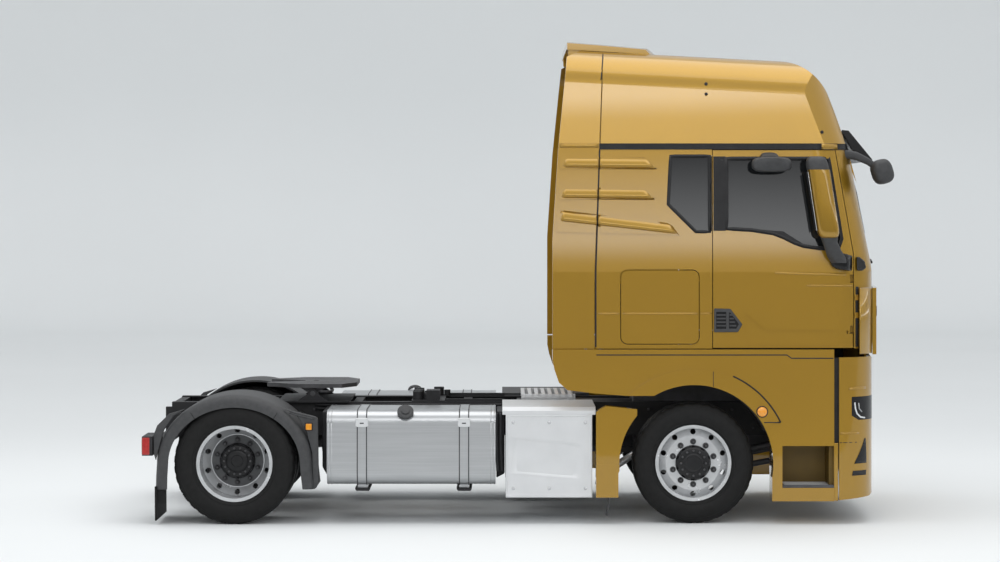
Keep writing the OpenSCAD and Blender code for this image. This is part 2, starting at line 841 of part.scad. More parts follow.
// Cab envelope: a barrel turned about a far upright axis, trimmed by the cab's cross section.
// Every outline can be drawn in by an inset, which gives the walls their thickness.
half_w = cab_w / 2;
waist_z = 1978;
ring_top = ring_z + ring_h;
ring_half = half_w - 38;
front_bow_r = 5150;
front_bow_z = 1457;
bow_x = front_reach - front_bow_r;
roof_rear_x = -697;
roof_corner_r = 450;
roof_corner_z = roof_z - 527;
roof_corner_x = bow_x + sqrt(pow(front_bow_r - roof_corner_r, 2) - pow(roof_corner_z - front_bow_z, 2));
roof_run = norm([roof_corner_x - roof_rear_x, roof_corner_z - roof_z]);
roof_slope = atan2(roof_z - roof_corner_z, roof_corner_x - roof_rear_x) - asin(roof_corner_r / roof_run);
roof_lean = 7;
roof_side_r = 330;
function front_at(z) = min(nose_x, bow_x + sqrt(pow(front_bow_r, 2) - pow(z - front_bow_z, 2)));

// Side profile in X and Z between two heights
module cab_profile(inset, low, high) {
  roof_c = [roof_corner_x, roof_corner_z];
  up = [sin(roof_slope), cos(roof_slope)];
  ahead = (roof_c - [bow_x, front_bow_z]) / norm(roof_c - [bow_x, front_bow_z]);
  reach = 3 * roof_corner_r;
  drop = inset / cos(roof_slope);
  rear = -1200;
  difference() {
    intersection() {
      translate([bow_x, front_bow_z]) circle(front_bow_r - inset, $fn = 1440);
      polygon([
        [rear, low], [nose_x - inset, low],
        [nose_x - inset, min(high, roof_z - (nose_x - roof_rear_x) * tan(roof_slope) - drop)],
        [rear, min(high, roof_z + (roof_rear_x - rear) * tan(roof_slope) - drop)]
      ]);
    }
    if (high > roof_corner_z) difference() {
      polygon([roof_c, roof_c + reach * up, roof_c + reach * (up + ahead), roof_c + reach * ahead]);
      translate(roof_c) circle(roof_corner_r + tangent_play - inset, $fn = 180);
    }
  }
}

// Outline in X and Z turned about the cab's far upright axis
module turned() {
  translate([axis_x, 0, 0]) rotate_extrude(angle = 60, start = -30, $fn = 720)
    translate([-axis_x, 0]) children();
}

// Turned barrel of the cab between two heights, with a slight flat at its foremost line
module barrel(inset, low, high) {
  intersection() {
    turned() cab_profile(inset, low, high);
    span([-2000, -far, 0], [front_at(low) - inset - flat_play, far, far]);
  }
}

// Space behind the cab's rear wall
module behind_cab(inset) {
  side_plate(-far, far) polygon([
    [-3000, 0], [-cab_rear + inset, 0], [-cab_rear + inset, waist_z], [roof_rear_x + inset, roof_z + 100],
    [-3000, roof_z + 100]
  ]);
}

// What the round front corners take away between two heights, on both sides
module corner_cut(low, high, half_low, half_high, inset, z0, z1) {
  cx = corner_x(front_at(low), half_low);
  back = atan((cx - corner_x(front_at(high), half_high)) / (high - low));
  lean = atan((half_low - half_high) / (high - low));
  turn = atan2(half_low - corner_r, cx - axis_x);
  both_sides() intersection() {
    span([0, 0, z0], [far, far, z1]);
    translate([cx, half_low - corner_r, low]) rotate([lean, -back, 0]) translate([0, 0, -200])
      linear_extrude(high - low + 900) difference() {
        polygon([
          [0, 0], [0, 2 * corner_r], [2 * corner_r, 2 * corner_r], 2 * corner_r * [cos(turn), sin(turn)]
        ]);
        circle(corner_r + tangent_play - inset, $fn = 128);
      }
  }
}

// Lower cab, between two heights under the roof
module cab_body(inset, low, high) {
  difference() {
    intersection() {
      barrel(inset, low, high);
      cross_plate(-1200, 1500) polygon([
        [half_w - inset, 0], [half_w - inset, waist_z], [ring_half - inset, ring_top],
        [ring_half - inset, ring_top + 20], [inset - ring_half, ring_top + 20],
        [inset - ring_half, ring_top], [inset - half_w, waist_z], [inset - half_w, 0]
      ]);
    }
    behind_cab(inset);
    if (low < waist_z) corner_cut(cab_base, waist_z, half_w, half_w, inset, 0, waist_z);
    if (high > waist_z) corner_cut(waist_z, ring_top, half_w, ring_half, inset, waist_z, far);
  }
}
module cab_shell(low, high) {
  difference() {
    cab_body(0, low, high);
    cab_body(wall, low - 1, high + 1);
  }
}

// Roof section in Y and Z, measured down from the roof line
module roof_section(inset) {
  top_half = ring_half - (roof_z - ring_top) * tan(roof_lean);
  deep = 900;
  cy = top_half - roof_side_r * (1 - sin(roof_lean)) / cos(roof_lean);
  side = inset / cos(roof_lean);
  difference() {
    polygon([
      [top_half - side, 0], [top_half + deep * tan(roof_lean) - side, -deep],
      [side - top_half - deep * tan(roof_lean), -deep], [side - top_half, 0]
    ]);
    for (s = [-1, 1]) difference() {
      polygon([
        [s * cy, -roof_side_r], [s * cy, roof_side_r], [s * (cy + 2 * roof_side_r), roof_side_r],
        [s * (cy + 2 * roof_side_r * cos(roof_lean)), -roof_side_r + 2 * roof_side_r * sin(roof_lean)]
      ]);
      translate([s * cy, -roof_side_r]) circle(roof_side_r + tangent_play - inset, $fn = 128);
    }
  }
}
module roof_prism(inset) {
  translate([roof_rear_x, 0, roof_z]) rotate([0, roof_slope, 0]) cross_plate(-700, 2400) roof_section(inset);
}
module roof_body(inset, low) {
  difference() {
    intersection() {
      barrel(inset, low, far);
      roof_prism(inset);
    }
    behind_cab(inset);
    corner_cut(ring_top, 3400, ring_half, ring_half - 50, inset, low, far);
  }
}

// Door outline in X and Z, grown by a gap: upright lower front edge, leaning upper front edge
door_waist_z = 2127;
door_top_x = 1114;
module door_outline(grow) {
  polygon([
    [door_rear_x - grow, door_z - grow], [door_front_x + grow, door_z - grow],
    [door_front_x + grow, door_waist_z], [door_top_x + grow, ring_z], [door_rear_x - grow, ring_z]
  ]);
}
// Inner limit of the doors where they reach round the front corners
door_in_y = 1055;
window_rear_x = 256;
window_top_z = 2868;
// Door window outline: level rear sill, dipping towards the front
module door_window(shrink) {
  polygon([
    [window_rear_x + shrink, 2317 + shrink], [700, 2290 + shrink], [860, 2190 + shrink], [980, 2158 + shrink],
    [1130 - shrink, 2150 + shrink], [1167 - shrink, 2237], [1065 - shrink, window_top_z - shrink],
    [window_rear_x + shrink, window_top_z - shrink]
  ]);
}
module side_window(shrink) {
  polygon([
    [-181 + shrink, 2887 - shrink], [door_rear_x - 24 - shrink, 2887 - shrink],
    [door_rear_x - 24 - shrink, 2293 + shrink], [16 + shrink, 2293 + shrink], [-201 + shrink, 2508]
  ]);
}
locker_x = -571;
locker_z = 1416;
module locker_outline(grow) {
  rounded_rect([locker_x - grow, locker_z - grow], [locker_x + locker_w + grow, locker_z + locker_h + grow],
    locker_r + grow);
}
locker_t = 20;
locker_axis_z = locker_z + locker_h - 80;
locker_axis_y = half_w - locker_t / 2;
locker_pin_r = 5;

// Line between the side walls and the rear wall
split_y = ring_half - wall - 20;
// Raised ribs across the side wall and deflector: low rear, high rear, low front and high front corners
ribs = [
  [[-1049, 2785], [-1049, 2887], [-274, 2795], [-300, 2870]],
  [[-1057, 2543], [-1057, 2652], [-290, 2560], [-320, 2632]],
  [[-1073, 2290], [-1073, 2440], [-118, 2268], [-330, 2400]]
];
rib_h = 14;
module rib_outlines() {
  for (r = ribs) polygon([r[0], r[2], r[3], r[1]]);
}
module side_ribs(x0, x1) {
  intersection() {
    difference() {
      cross_plate(x0, x1) polygon([
        [half_w - 40, waist_z], [half_w + rib_h, waist_z], [ring_half + rib_h, ring_top],
        [ring_half - 40, ring_top]
      ]);
      cross_plate(-2000, 2000) polygon([
        [0, waist_z], [half_w - 10, waist_z], [ring_half - 10, ring_top], [0, ring_top]
      ]);
    }
    side_plate(0, far) rib_outlines();
  }
}

module cab_sides() {
  color(gold) placed() {
    difference() {
      union() {
        difference() {
          intersection() {
            cab_shell(cab_base, ring_z);
            both_sides() span([-2000, split_y, 0], [door_rear_x - seam, far, far]);
          }
          side_plate(-far, far) side_window(0);
        }
        both_sides() side_ribs(-cab_rear + 40, 0);
      }
      side_plate(-far, far) locker_outline(seam);
    }
    both_sides() for (x = [locker_x - seam - 5, locker_x + locker_w - 20])
      translate([x, locker_axis_y, locker_axis_z]) rotate([0, 90, 0])
        cylinder(h = 20 + seam + 5, r = locker_pin_r);
  }
}
module cab_rear_wall() {
  color(gold) placed() intersection() {
    cab_shell(cab_base, ring_z);
    span([-2000, -split_y, 0], [0, split_y, far]);
  }
}

// Windscreen opening in Y and Z
screen_low = 2000;
screen_high = 2890;
module screen_outline(shrink) {
  polygon([
    [975 - shrink, screen_low + shrink], [915 - shrink, screen_high - shrink],
    [shrink - 915, screen_high - shrink], [shrink - 975, screen_low + shrink]
  ]);
}
glass_in = 14;
screen_t = 8;
// Heights where the glass changes its slope
screen_steps = [screen_low - 20, screen_low + 290, screen_low + 600, screen_high + 20];
module windscreen() {
  color(glass) placed() intersection() {
    turned() polygon(concat(
      [for (z = screen_steps) [front_at(z) - glass_in, z]],
      [for (i = [len(screen_steps) - 1 : -1 : 0])
        [front_at(screen_steps[i]) - glass_in - screen_t, screen_steps[i]]]
    ));
    cross_plate(900, front_at(screen_low) - glass_in - flat_play) screen_outline(seat_gap);
  }
}

// Door hinges: arms from the front pillars reach round into the door's edge
hinge_x = door_front_x - 36;
hinge_depth = 16;
hinge_run = hinge_x - corner_x(nose_x, half_w);
hinge_y = half_w - corner_r + sqrt(pow(corner_r, 2) - pow(hinge_run, 2)) - hinge_depth;
hinges_z = [1500, 1900];
hinge_h = 50;
hinge_pin_r = 7;
module hinge_arms() {
  for (z = hinges_z) difference() {
    union() {
      translate([hinge_x, hinge_y, z]) cylinder(h = hinge_h, r = 12);
      span([hinge_x - 9, hinge_y - 70, z], [hinge_x + 9, hinge_y, z + hinge_h]);
      span([hinge_x - 9, hinge_y - 84, z], [door_front_x + seam + 40, hinge_y - 60, z + hinge_h]);
    }
    translate([hinge_x, hinge_y, 0]) cylinder(h = far, r = hinge_pin_r + run_gap);
  }
}
module hinge_pockets() {
  for (z = hinges_z) span([hinge_x - 16, hinge_y - 120, z - 6], [far, hinge_y + 13, z + hinge_h + 6]);
}

// Front flap over the nose, hung at its top edge
flap_low = 1323;
flap_high = 1849;
flap_gap = seam;
flap_t = 31;
flap_half = 1030;
flap_axis_x = nose_x + flap_gap + 11;
flap_axis_z = flap_high - 5;
flap_hinges_y = [-250, 250];
flap_pin_r = 4;
grille_low = 905;
grille_high = flap_low - seam;
grille_half = 720;
grille_t = wall;
module cab_front() {
  color(gold) placed() {
    difference() {
      intersection() {
        cab_shell(cab_base, ring_z);
        span([900, -far, 0], [far, far, far]);
      }
      both_sides() side_plate(door_in_y - seam, far) union() {
        door_outline(seam);
        translate([0, door_z - 100]) square([door_rear_x + 900, 2000]);
      }
      cross_plate(900, 1500) screen_outline(0);
    }
    both_sides() hinge_arms();
    difference() {
      union() for (y = flap_hinges_y) translate([0, y, 0]) {
        span([nose_x - 30, -20, flap_axis_z - 8], [flap_axis_x, 20, flap_axis_z + 8]);
        cross_rod(flap_axis_x, flap_axis_z, 8, -20, 20);
      }
      cross_rod(flap_axis_x, flap_axis_z, flap_pin_r + run_gap, -far, far);
    }
    intersection() {
      turned() union() {
        translate([nose_x - grille_t, grille_low]) square([20, cab_base + 20 - grille_low]);
        for (z = [grille_low : 80 : grille_high - 20])
          translate([nose_x - grille_t, z]) square([grille_t, 26]);
      }
      span([0, -grille_half, 0], [far, grille_half, far]);
    }
  }
}
module front_flap() {
  color(gold) placed() {
    difference() {
      intersection() {
        turned() translate([nose_x + flap_gap, flap_low]) square([flap_t, flap_high - flap_low]);
        span([0, -flap_half, 0], [far, flap_half, far]);
      }
      for (y = flap_hinges_y) span([0, y - 27, flap_axis_z - 14], [flap_axis_x + 13, y + 27, far]);
    }
    for (y = flap_hinges_y) cross_rod(flap_axis_x, flap_axis_z, flap_pin_r, y - 35, y + 35);
  }
}

module roof_ring() {
  color(black) placed() difference() {
    cab_body(-8, ring_z, ring_top);
    cab_body(wall, ring_z - 1, ring_top + 1);
  }
}
module roof_cap() {
  color(gold) placed() difference() {
    roof_body(0, ring_top);
    roof_body(roof_t, ring_top - 1);
  }
}
spoiler_half = 1010;
spoiler_z = roof_z + 81;
module roof_spoiler() {
  color(gold) placed() difference() {
    intersection() {
      side_plate(-far, far) polygon([
        [-984, spoiler_z], [-223, roof_z + 12], [-223, roof_z - 140], [roof_rear_x + 12, roof_z - 140],
        [roof_rear_x + 12, roof_z + 9], [-975, spoiler_z - 31]
      ]);
      span([-far, -spoiler_half, 0], [far, spoiler_half, far]);
    }
    roof_body(-seat_gap, ring_top + 300);
  }
}

deflector_t = 40;
deflector_x = -1108;
groove = 10;
module side_deflectors() {
  color(gold) placed() {
    both_sides() difference() {
      intersection() {
        union() {
          cross_plate(-1200, 0) polygon([
            [half_w, cab_base], [half_w, waist_z], [ring_half, ring_top],
            [ring_half - deflector_t, ring_top], [half_w - deflector_t, waist_z],
            [half_w - deflector_t, cab_base]
          ]);
          intersection() {
            difference() {
              roof_prism(0);
              roof_prism(deflector_t);
            }
            span([-1200, 0, ring_top], [0, far, far]);
          }
          side_ribs(-1200, -500);
        }
        side_plate(0, far) polygon([
          [-cab_rear, cab_base], [deflector_x, cab_base], [deflector_x, 2229], [deflector_x + 46, 2949],
          [-990, roof_z - 49], [-900, roof_z - 6], [roof_rear_x, roof_z + 100], [-cab_rear, waist_z]
        ]);
      }
      side_plate(half_w - 140, far) polygon([
        [-cab_rear + 1, 0], [-cab_rear - groove, 0], [-cab_rear - groove, waist_z],
        [roof_rear_x - groove, roof_z + 100], [roof_rear_x + 1, roof_z + 100], [-cab_rear + 1, waist_z]
      ]);
    }
    both_sides() span([-cab_rear - 60, split_y - 60, 1500], [-cab_rear, half_w - deflector_t + 1, 1900]);
  }
}

module side_windows() {
  color(glass) placed() both_sides() intersection() {
    difference() {
      cab_body(14, 2200, 2900);
      cab_body(20, 2100, ring_z);
    }
    side_plate(0, far) side_window(seat_gap);
  }
}

// Sun visor hung from the roof's brow
visor_half = 930;
module sun_visor() {
  color("#0e0f10") placed() intersection() {
    turned() polygon([
      [front_at(3085) + seat_gap, 3085], [front_at(3100) + seat_gap + 8, 3100], [nose_x - 55, 2862],
      [nose_x - 64, 2851]
    ]);
    span([0, -visor_half, 0], [far, visor_half, far]);
  }
}

// Cab floor fits inside the walls, with the arms down to the tilt pivots
floor_low = 1318;
floor_top = 1400;
floor_half = 1080;
arm_w = 36;
module cab_floor() {
  color(dark) placed() {
    difference() {
      cab_body(wall + seat_gap, cab_base, floor_top);
      both_sides() span([door_rear_x - 40, floor_half, 0], [far, far, far]);
    }
    span([-cab_rear + wall + 10, -floor_half, floor_low], [1100, floor_half, cab_base]);
    both_sides() {
      side_plate(bracket_y1 + 1, bracket_y1 + 1 + arm_w) {
        translate([pivot_x, pivot_z]) circle(34);
        polygon([
          [pivot_x - 34, pivot_z], [pivot_x + 34, pivot_z], [pivot_x + 20, cab_base + 4],
          [pivot_x - 150, cab_base + 4]
        ]);
      }
      cross_rod(pivot_x, pivot_z, pivot_r, bracket_y0, bracket_y1 + 10);
    }
  }
}

seat_y = 620;
module seats() {
  color(cloth) placed() both_sides() translate([0, seat_y, 0]) {
    span([130, -160, floor_top], [480, 160, 1720]);
    span([60, -250, 1720], [580, 250, 1880]);
    side_plate(-240, 240) polygon([[60, 1860], [190, 1860], [90, 2480], [-40, 2480]]);
    side_plate(-130, 130) polygon([[50, 2500], [-30, 2500], [-50, 2690], [30, 2690]]);
    span([-20, -60, 2470], [50, 60, 2510]);
  }
}
module bunk() {
  color(cloth) placed() {
    span([-cab_rear + wall + 25, -850, floor_top], [-140, 850, 1690]);
    span([-cab_rear + wall + 25, -1120, 1690], [-110, 1120, 1840]);
  }
}
dash_half = 1060;
module dashboard() {
  color(black) placed() {
    intersection() {
      cab_body(wall + 12, floor_top, 2200);
      side_plate(-dash_half, dash_half) polygon([
        [1000, floor_top], [nose_x, floor_top], [nose_x, 2010], [1240, 2060], [880, 2030], [850, 1840],
        [960, 1700]
      ]);
    }
    translate([860, seat_y, 1960]) rotate([0, -60, 0]) cylinder(h = 170, r = 34);
    translate([860, seat_y, 1960]) rotate([0, -60, 0]) translate([0, 0, 165]) {
      rotate_extrude() translate([205, 0]) circle(15, $fn = 32);
      for (a = [90, 210, 330]) rotate([0, 0, a]) translate([0, -16, -9]) cube([205, 32, 18]);
      cylinder(h = 26, r = 55, center = true);
    }
  }
}

// Front-view mirror on an arm from the right brow
module front_mirror() {
  color(black) placed() mirror([0, 1, 0]) difference() {
    union() {
      side_plate(930, 1180) rounded_rect([1413, 2661], [mirror_reach, 2871], 60);
      side_plate(985, 1035) polygon([
        [1120, 2900], [1120, 2936], [1330, 2906], [1440, 2850], [1440, 2800], [1320, 2860]
      ]);
    }
    cab_body(-seat_gap, 2600, ring_z + 1);
    cab_body(-8 - seat_gap, 2920, ring_top);
  }
}

// Doors with window, hinge pockets, pins and the lower panel set back below its crease
crease_depth = 10;
module door() {
  difference() {
    intersection() {
      cab_shell(door_z, ring_z - seam);
      side_plate(door_in_y, far) door_outline(0);
    }
    side_plate(0, far) door_window(0);
    hinge_pockets();
    difference() {
      side_plate(half_w - 160, far)
        polygon([[399, 1660], [559, 1522], [far, 1498], [far, 1400], [399, 1400]]);
      cab_body(crease_depth, door_z - 20, 2000);
    }
  }
  for (z = hinges_z) translate([hinge_x, hinge_y, z - 20]) cylinder(h = hinge_h + 40, r = hinge_pin_r);
}
module door_pane() {
  intersection() {
    difference() {
      cab_body(20, 2100, 2920);
      cab_body(26, 2090, ring_z);
    }
    side_plate(0, far) door_window(seat_gap);
  }
}
// Height of the side skin's lean, for pieces that seat on it
function skin_y(z) = half_w - max(0, z - waist_z) * (half_w - ring_half) / (ring_top - waist_z);

// Main mirror: foot on the door, arm and a tall head
head_y0 = 1300;
head_y1 = 1480;
head_low = 2238;
head_high = 2879;
foot_low = 1992;
foot_high = 2125;
module main_mirror() {
  cross_plate(1040, 1085) polygon([
    [skin_y(foot_low) + seat_gap, foot_low], [1290, foot_low + 40], [1290, foot_high],
    [skin_y(foot_high) + seat_gap, foot_high]
  ]);
  intersection() {
    linear_extrude(far) polygon([
      [1080, half_w + 2], [1170, half_w], [1236, half_w - 21], [1231, 1220], [1219, 1237], [1215, 1275],
      [1180, 1310], [1080, 1310]
    ]);
    side_plate(0, far) polygon([
      [1063, 2100], [1110, 2010], [1240, foot_low], [1240, 2110], [1130, foot_high], [1063, foot_high]
    ]);
  }
  side_plate(1250, 1330) polygon([[1070, foot_high], [1110, 2040], [1190, 2060], [1110, 2300], [1040, 2300]]);
  intersection() {
    translate([0, 0, head_low]) linear_extrude(head_high - head_low) intersection() {
      translate([880, head_y0]) square([244, head_y1 - head_y0]);
      translate([884, (head_y0 + head_y1) / 2]) circle(240, $fn = 96);
    }
    side_plate(0, far) polygon([
      [873, 2300], [930, head_low], [1080, head_low + 10], [1124, 2350], [1124, 2760], [1080, head_high],
      [900, head_high]
    ]);
  }
}
// Kerb-view mirror over the right door
kerb_low = 2756;
kerb_high = 2880;
module kerb_mirror() {
  side_plate(1260, 1420) rounded_rect([441, kerb_low], [749, kerb_high], 50);
  cross_plate(540, 640) polygon([
    [skin_y(2850) + seat_gap, 2850], [1300, 2840], [1300, 2870], [skin_y(2905) + seat_gap, 2905]
  ]);
}
module door_right() { color(gold) placed() on_side(-1) door(); }
module door_left() { color(gold) placed() on_side(1) door(); }
module door_glass_right() { color(glass) placed() on_side(-1) door_pane(); }
module door_glass_left() { color(glass) placed() on_side(1) door_pane(); }
module mirror_right() {
  color(gold) placed() on_side(-1) {
    main_mirror();
    kerb_mirror();
  }
}
module mirror_left() { color(gold) placed() on_side(1) main_mirror(); }

module locker_lid() {
  difference() {
    intersection() {
      span([-2000, half_w - locker_t, 0], [2000, half_w, far]);
      side_plate(0, far) locker_outline(0);
    }
    translate([0, locker_axis_y, locker_axis_z]) rotate([0, 90, 0])
      for (x = [locker_x - 1, locker_x + locker_w - 25])
      translate([0, 0, x]) cylinder(h = 26, r = locker_pin_r + run_gap);
  }
}
module locker_lid_right() { color(gold) placed() on_side(-1) locker_lid(); }
module locker_lid_left() { color(gold) placed() on_side(1) locker_lid(); }

frame_rails();
crossmembers();
engine();
driveline();
front_axle();
front_springs();
rear_axle();
rear_suspension();
fuel_tanks();
tank_straps();
silencer_box();
battery_box();
catwalk();
air_valves();
front_bumper();
headlamps();
fenders();
arch_liners();
side_skirts();
rear_mudguards();
tail_lamps();
fifth_wheel_base();
fifth_wheel_plate();
cab_floor();
cab_sides();
cab_rear_wall();
cab_front();
roof_ring();
roof_cap();
roof_spoiler();
side_deflectors();
windscreen();
side_windows();
sun_visor();
seats();
bunk();
dashboard();
front_mirror();
door_right();
door_glass_right();
mirror_right();
door_left();
door_glass_left();
mirror_left();
locker_lid_right();
locker_lid_left();
front_flap();
knuckle_right();
knuckle_left();
tyre_front_right();
rim_front_right();
tyre_front_left();
rim_front_left();
tyres_rear_right();
rims_rear_right();
tyres_rear_left();
rims_rear_left();
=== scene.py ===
from math import atan2, ceil, copysign, cos, dist, pi, radians, sin, sqrt
import bmesh
import bpy
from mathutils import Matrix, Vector


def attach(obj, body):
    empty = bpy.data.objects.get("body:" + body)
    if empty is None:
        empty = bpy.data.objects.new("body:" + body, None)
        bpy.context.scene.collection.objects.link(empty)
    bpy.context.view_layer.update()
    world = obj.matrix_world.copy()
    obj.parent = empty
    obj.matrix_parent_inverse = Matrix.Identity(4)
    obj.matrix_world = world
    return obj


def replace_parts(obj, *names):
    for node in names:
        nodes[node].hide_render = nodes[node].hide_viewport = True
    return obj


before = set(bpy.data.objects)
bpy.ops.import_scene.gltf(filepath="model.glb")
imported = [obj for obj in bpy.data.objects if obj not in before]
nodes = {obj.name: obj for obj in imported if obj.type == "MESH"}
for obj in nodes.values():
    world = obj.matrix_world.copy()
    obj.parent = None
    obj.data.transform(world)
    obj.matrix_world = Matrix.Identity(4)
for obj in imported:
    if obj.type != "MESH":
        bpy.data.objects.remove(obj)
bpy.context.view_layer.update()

# Places are given as in the part's source: X from the front axle, in metres
FRONT_AXLE_X = 1.364
REAR_AXLE_X = -3.6
AXLE_Z = 0.475
SIDES = (("_right", -1), ("_left", 1))
scene = bpy.context.scene


def at(x, y, z):
    return Vector((FRONT_AXLE_X + x, y, z))


# Mesh building
def add_mesh(name, verts, faces, body, material, smooth=True, bevel=0.0, segments=2):
    mesh = bpy.data.meshes.new(name)
    mesh.from_pydata([tuple(v) for v in verts], [], faces)
    mesh.update()
    obj = bpy.data.objects.new(name, mesh)
    scene.collection.objects.link(obj)
    work = bmesh.new()
    work.from_mesh(mesh)
    bmesh.ops.recalc_face_normals(work, faces=work.faces)
    work.to_mesh(mesh)
    work.free()
    mesh.materials.append(material)
    if smooth:
        for face in mesh.polygons:
            face.use_smooth = True
    if bevel:
        soften(obj, bevel, segments)
    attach(obj, body)
    return obj


def soften(obj, width, segments):
    """Rounds an object's edges and keeps its flat faces flat."""
    modifier = obj.modifiers.new("bevel", "BEVEL")
    modifier.width = width
    modifier.segments = segments
    modifier.limit_method = "ANGLE"
    modifier.angle_limit = radians(30)
    modifier.harden_normals = True
    modifier.use_clamp_overlap = True


def plate(name, lower, upper, body, material, bevel, segments):
    """Closed piece between two rings of points."""
    n = len(lower)
    faces = [tuple(range(n)), tuple(range(2 * n - 1, n - 1, -1))]
    faces += [(i, (i + 1) % n, n + (i + 1) % n, n + i) for i in range(n)]
    return add_mesh(name, lower + upper, faces, body, material, bevel > 0, bevel, segments)


def prism(name, outline, low, high, body, material, axis="y", bevel=0.004, segments=2):
    """Outline of X and Z extruded along Y, or of X and Y along Z."""
    lower, upper = ([at(a, c, b) if axis == "y" else at(a, b, c) for a, b in outline] for c in (low, high))
    return plate(name, lower, upper, body, material, bevel, segments)


def block(name, outline, near, far, side, material, bevel, segments=2, body="chassis"):
    """Prism on one side of the truck, between two distances from the middle."""
    low, high = sorted((side * near, side * far))
    return prism(name, outline, low, high, body, material, "y", bevel, segments)


def rect(low_a, high_a, low_b, high_b):
    return [(low_a, low_b), (high_a, low_b), (high_a, high_b), (low_a, high_b)]


def lathe_data(profile, centre, steps, side):
    """Turned surface on a cross axis. The profile holds radius and distance outboard."""
    n = len(profile)
    verts, faces = [], []
    for i in range(steps):
        turn = 2 * pi * i / steps
        for radius, reach in profile:
            verts.append(centre + Vector((radius * cos(turn), side * reach, radius * sin(turn))))
        j = (i + 1) % steps
        faces += [(i * n + k, j * n + k, j * n + k + 1, i * n + k + 1) for k in range(n - 1)]
    return verts, faces


def turned_piece(name, profile, centre, side, body, material, steps=96):
    verts, faces = lathe_data(profile, centre, steps, side)
    obj = add_mesh(name, verts, faces, body, material)
    obj.data.set_sharp_from_angle(angle=radians(35))
    return obj


def stud_piece(name, places, direction, radius, height, body, material, sides=6, dome=0.0):
    """Short prisms that stand on the places given, all in one mesh."""
    verts, faces = [], []
    direction = Vector(direction).normalized()
    across = direction.orthogonal().normalized()
    other = direction.cross(across)
    for place in places:
        base = len(verts)
        for lift, scale in ((0.0, 1.0), (height * 0.8, 1.0), (height, 0.82)):
            for i in range(sides):
                turn = 2 * pi * i / sides
                spoke = (across * cos(turn) + other * sin(turn)) * radius * scale
                verts.append(Vector(place) + direction * lift + spoke)
        verts.append(Vector(place) + direction * (height + dome))
        for low in (base, base + sides):
            for i in range(sides):
                j = (i + 1) % sides
                faces.append((low + i, low + j, low + sides + j, low + sides + i))
        for i in range(sides):
            faces.append((base + 2 * sides + i, base + 2 * sides + (i + 1) % sides, base + 3 * sides))
        faces.append(tuple(base + i for i in reversed(range(sides))))
    return add_mesh(name, verts, faces, body, material, smooth=False)


def loft(name, rings, body, material, sharp=50, closed=False, bevel=0.0):
    """Skin over rings of points, with flat ends or closed to a loop. Edges over the angle stay sharp."""
    n, count = len(rings[0]), len(rings)
    faces = []
    for i in range(count if closed else count - 1):
        low, high = i * n, (i + 1) % count * n
        faces += [(low + k, low + (k + 1) % n, high + (k + 1) % n, high + k) for k in range(n)]
    if not closed:
        faces += [tuple(reversed(range(n))), tuple(range((count - 1) * n, count * n))]
    obj = add_mesh(name, [p for ring in rings for p in ring], faces, body, material, True, bevel)
    if sharp:
        obj.data.set_sharp_from_angle(angle=radians(sharp))
    return obj


def tube(name, points, radius, body, material, sides=12):
    """Round bar along a path."""
    points = [Vector(p) for p in points]
    turns = [2 * pi * k / sides for k in range(sides)]
    rings = []
    normal = None
    for i, point in enumerate(points):
        ahead = (points[min(i + 1, len(points) - 1)] - points[max(i - 1, 0)]).normalized()
        if normal is None:
            normal = ahead.orthogonal().normalized()
        normal = (normal - ahead * normal.dot(ahead)).normalized()
        other = ahead.cross(normal)
        rings.append([point + (normal * cos(t) + other * sin(t)) * radius for t in turns])
    return loft(name, rings, body, material, None)


def smooth_path(points, steps=8):
    """Points on a smooth curve through the points given."""
    points = [Vector(p) for p in points]
    path = []
    for i in range(len(points) - 1):
        p0 = points[max(i - 1, 0)]
        p1, p2 = points[i], points[i + 1]
        p3 = points[min(i + 2, len(points) - 1)]
        for k in range(steps):
            t = k / steps
            path.append(0.5 * (2 * p1 + (p2 - p0) * t + (2 * p0 - 5 * p1 + 4 * p2 - p3) * t * t
                + (3 * p1 - p0 - 3 * p2 + p3) * t * t * t))
    path.append(points[-1])
    return path


def side_path(side, *points):
    """Smooth path through points on one side of the truck."""
    return smooth_path([at(x, side * y, z) for x, y, z in points])


# Materials
def new_material(name):
    material = bpy.data.materials.new(name)
    material.use_nodes = True
    return material, material.node_tree, material.node_tree.nodes["Principled BSDF"]


def link(tree, a, b):
    tree.links.new(a, b)


def noise(tree, scale, detail=2.0, stretch=(1, 1, 1)):
    coords = tree.nodes.new("ShaderNodeTexCoord")
    mapping = tree.nodes.new("ShaderNodeMapping")
    mapping.inputs["Scale"].default_value = stretch
    texture = tree.nodes.new("ShaderNodeTexNoise")
    texture.inputs["Scale"].default_value = scale
    texture.inputs["Detail"].default_value = detail
    link(tree, coords.outputs["Object"], mapping.inputs["Vector"])
    link(tree, mapping.outputs["Vector"], texture.inputs["Vector"])
    return texture.outputs["Fac"]


def ramp(tree, factor, low, high, start=0.3, end=0.7):
    node = tree.nodes.new("ShaderNodeValToRGB")
    node.color_ramp.elements[0].position = start
    node.color_ramp.elements[1].position = end
    node.color_ramp.elements[0].color = (*low, 1)
    node.color_ramp.elements[1].color = (*high, 1)
    link(tree, factor, node.inputs["Fac"])
    return node.outputs["Color"]


def spread(tree, factor, low, high, ends="To"):
    """Value from 0 to 1 mapped to a range, or a range mapped to 0 to 1."""
    node = tree.nodes.new("ShaderNodeMapRange")
    node.inputs[ends + " Min"].default_value = low
    node.inputs[ends + " Max"].default_value = high
    link(tree, factor, node.inputs["Value"])
    return node.outputs["Result"]


def bump(tree, shader, factor, strength, distance):
    node = tree.nodes.new("ShaderNodeBump")
    node.inputs["Strength"].default_value = strength
    node.inputs["Distance"].default_value = distance
    link(tree, factor, node.inputs["Height"])
    link(tree, node.outputs["Normal"], shader.inputs["Normal"])


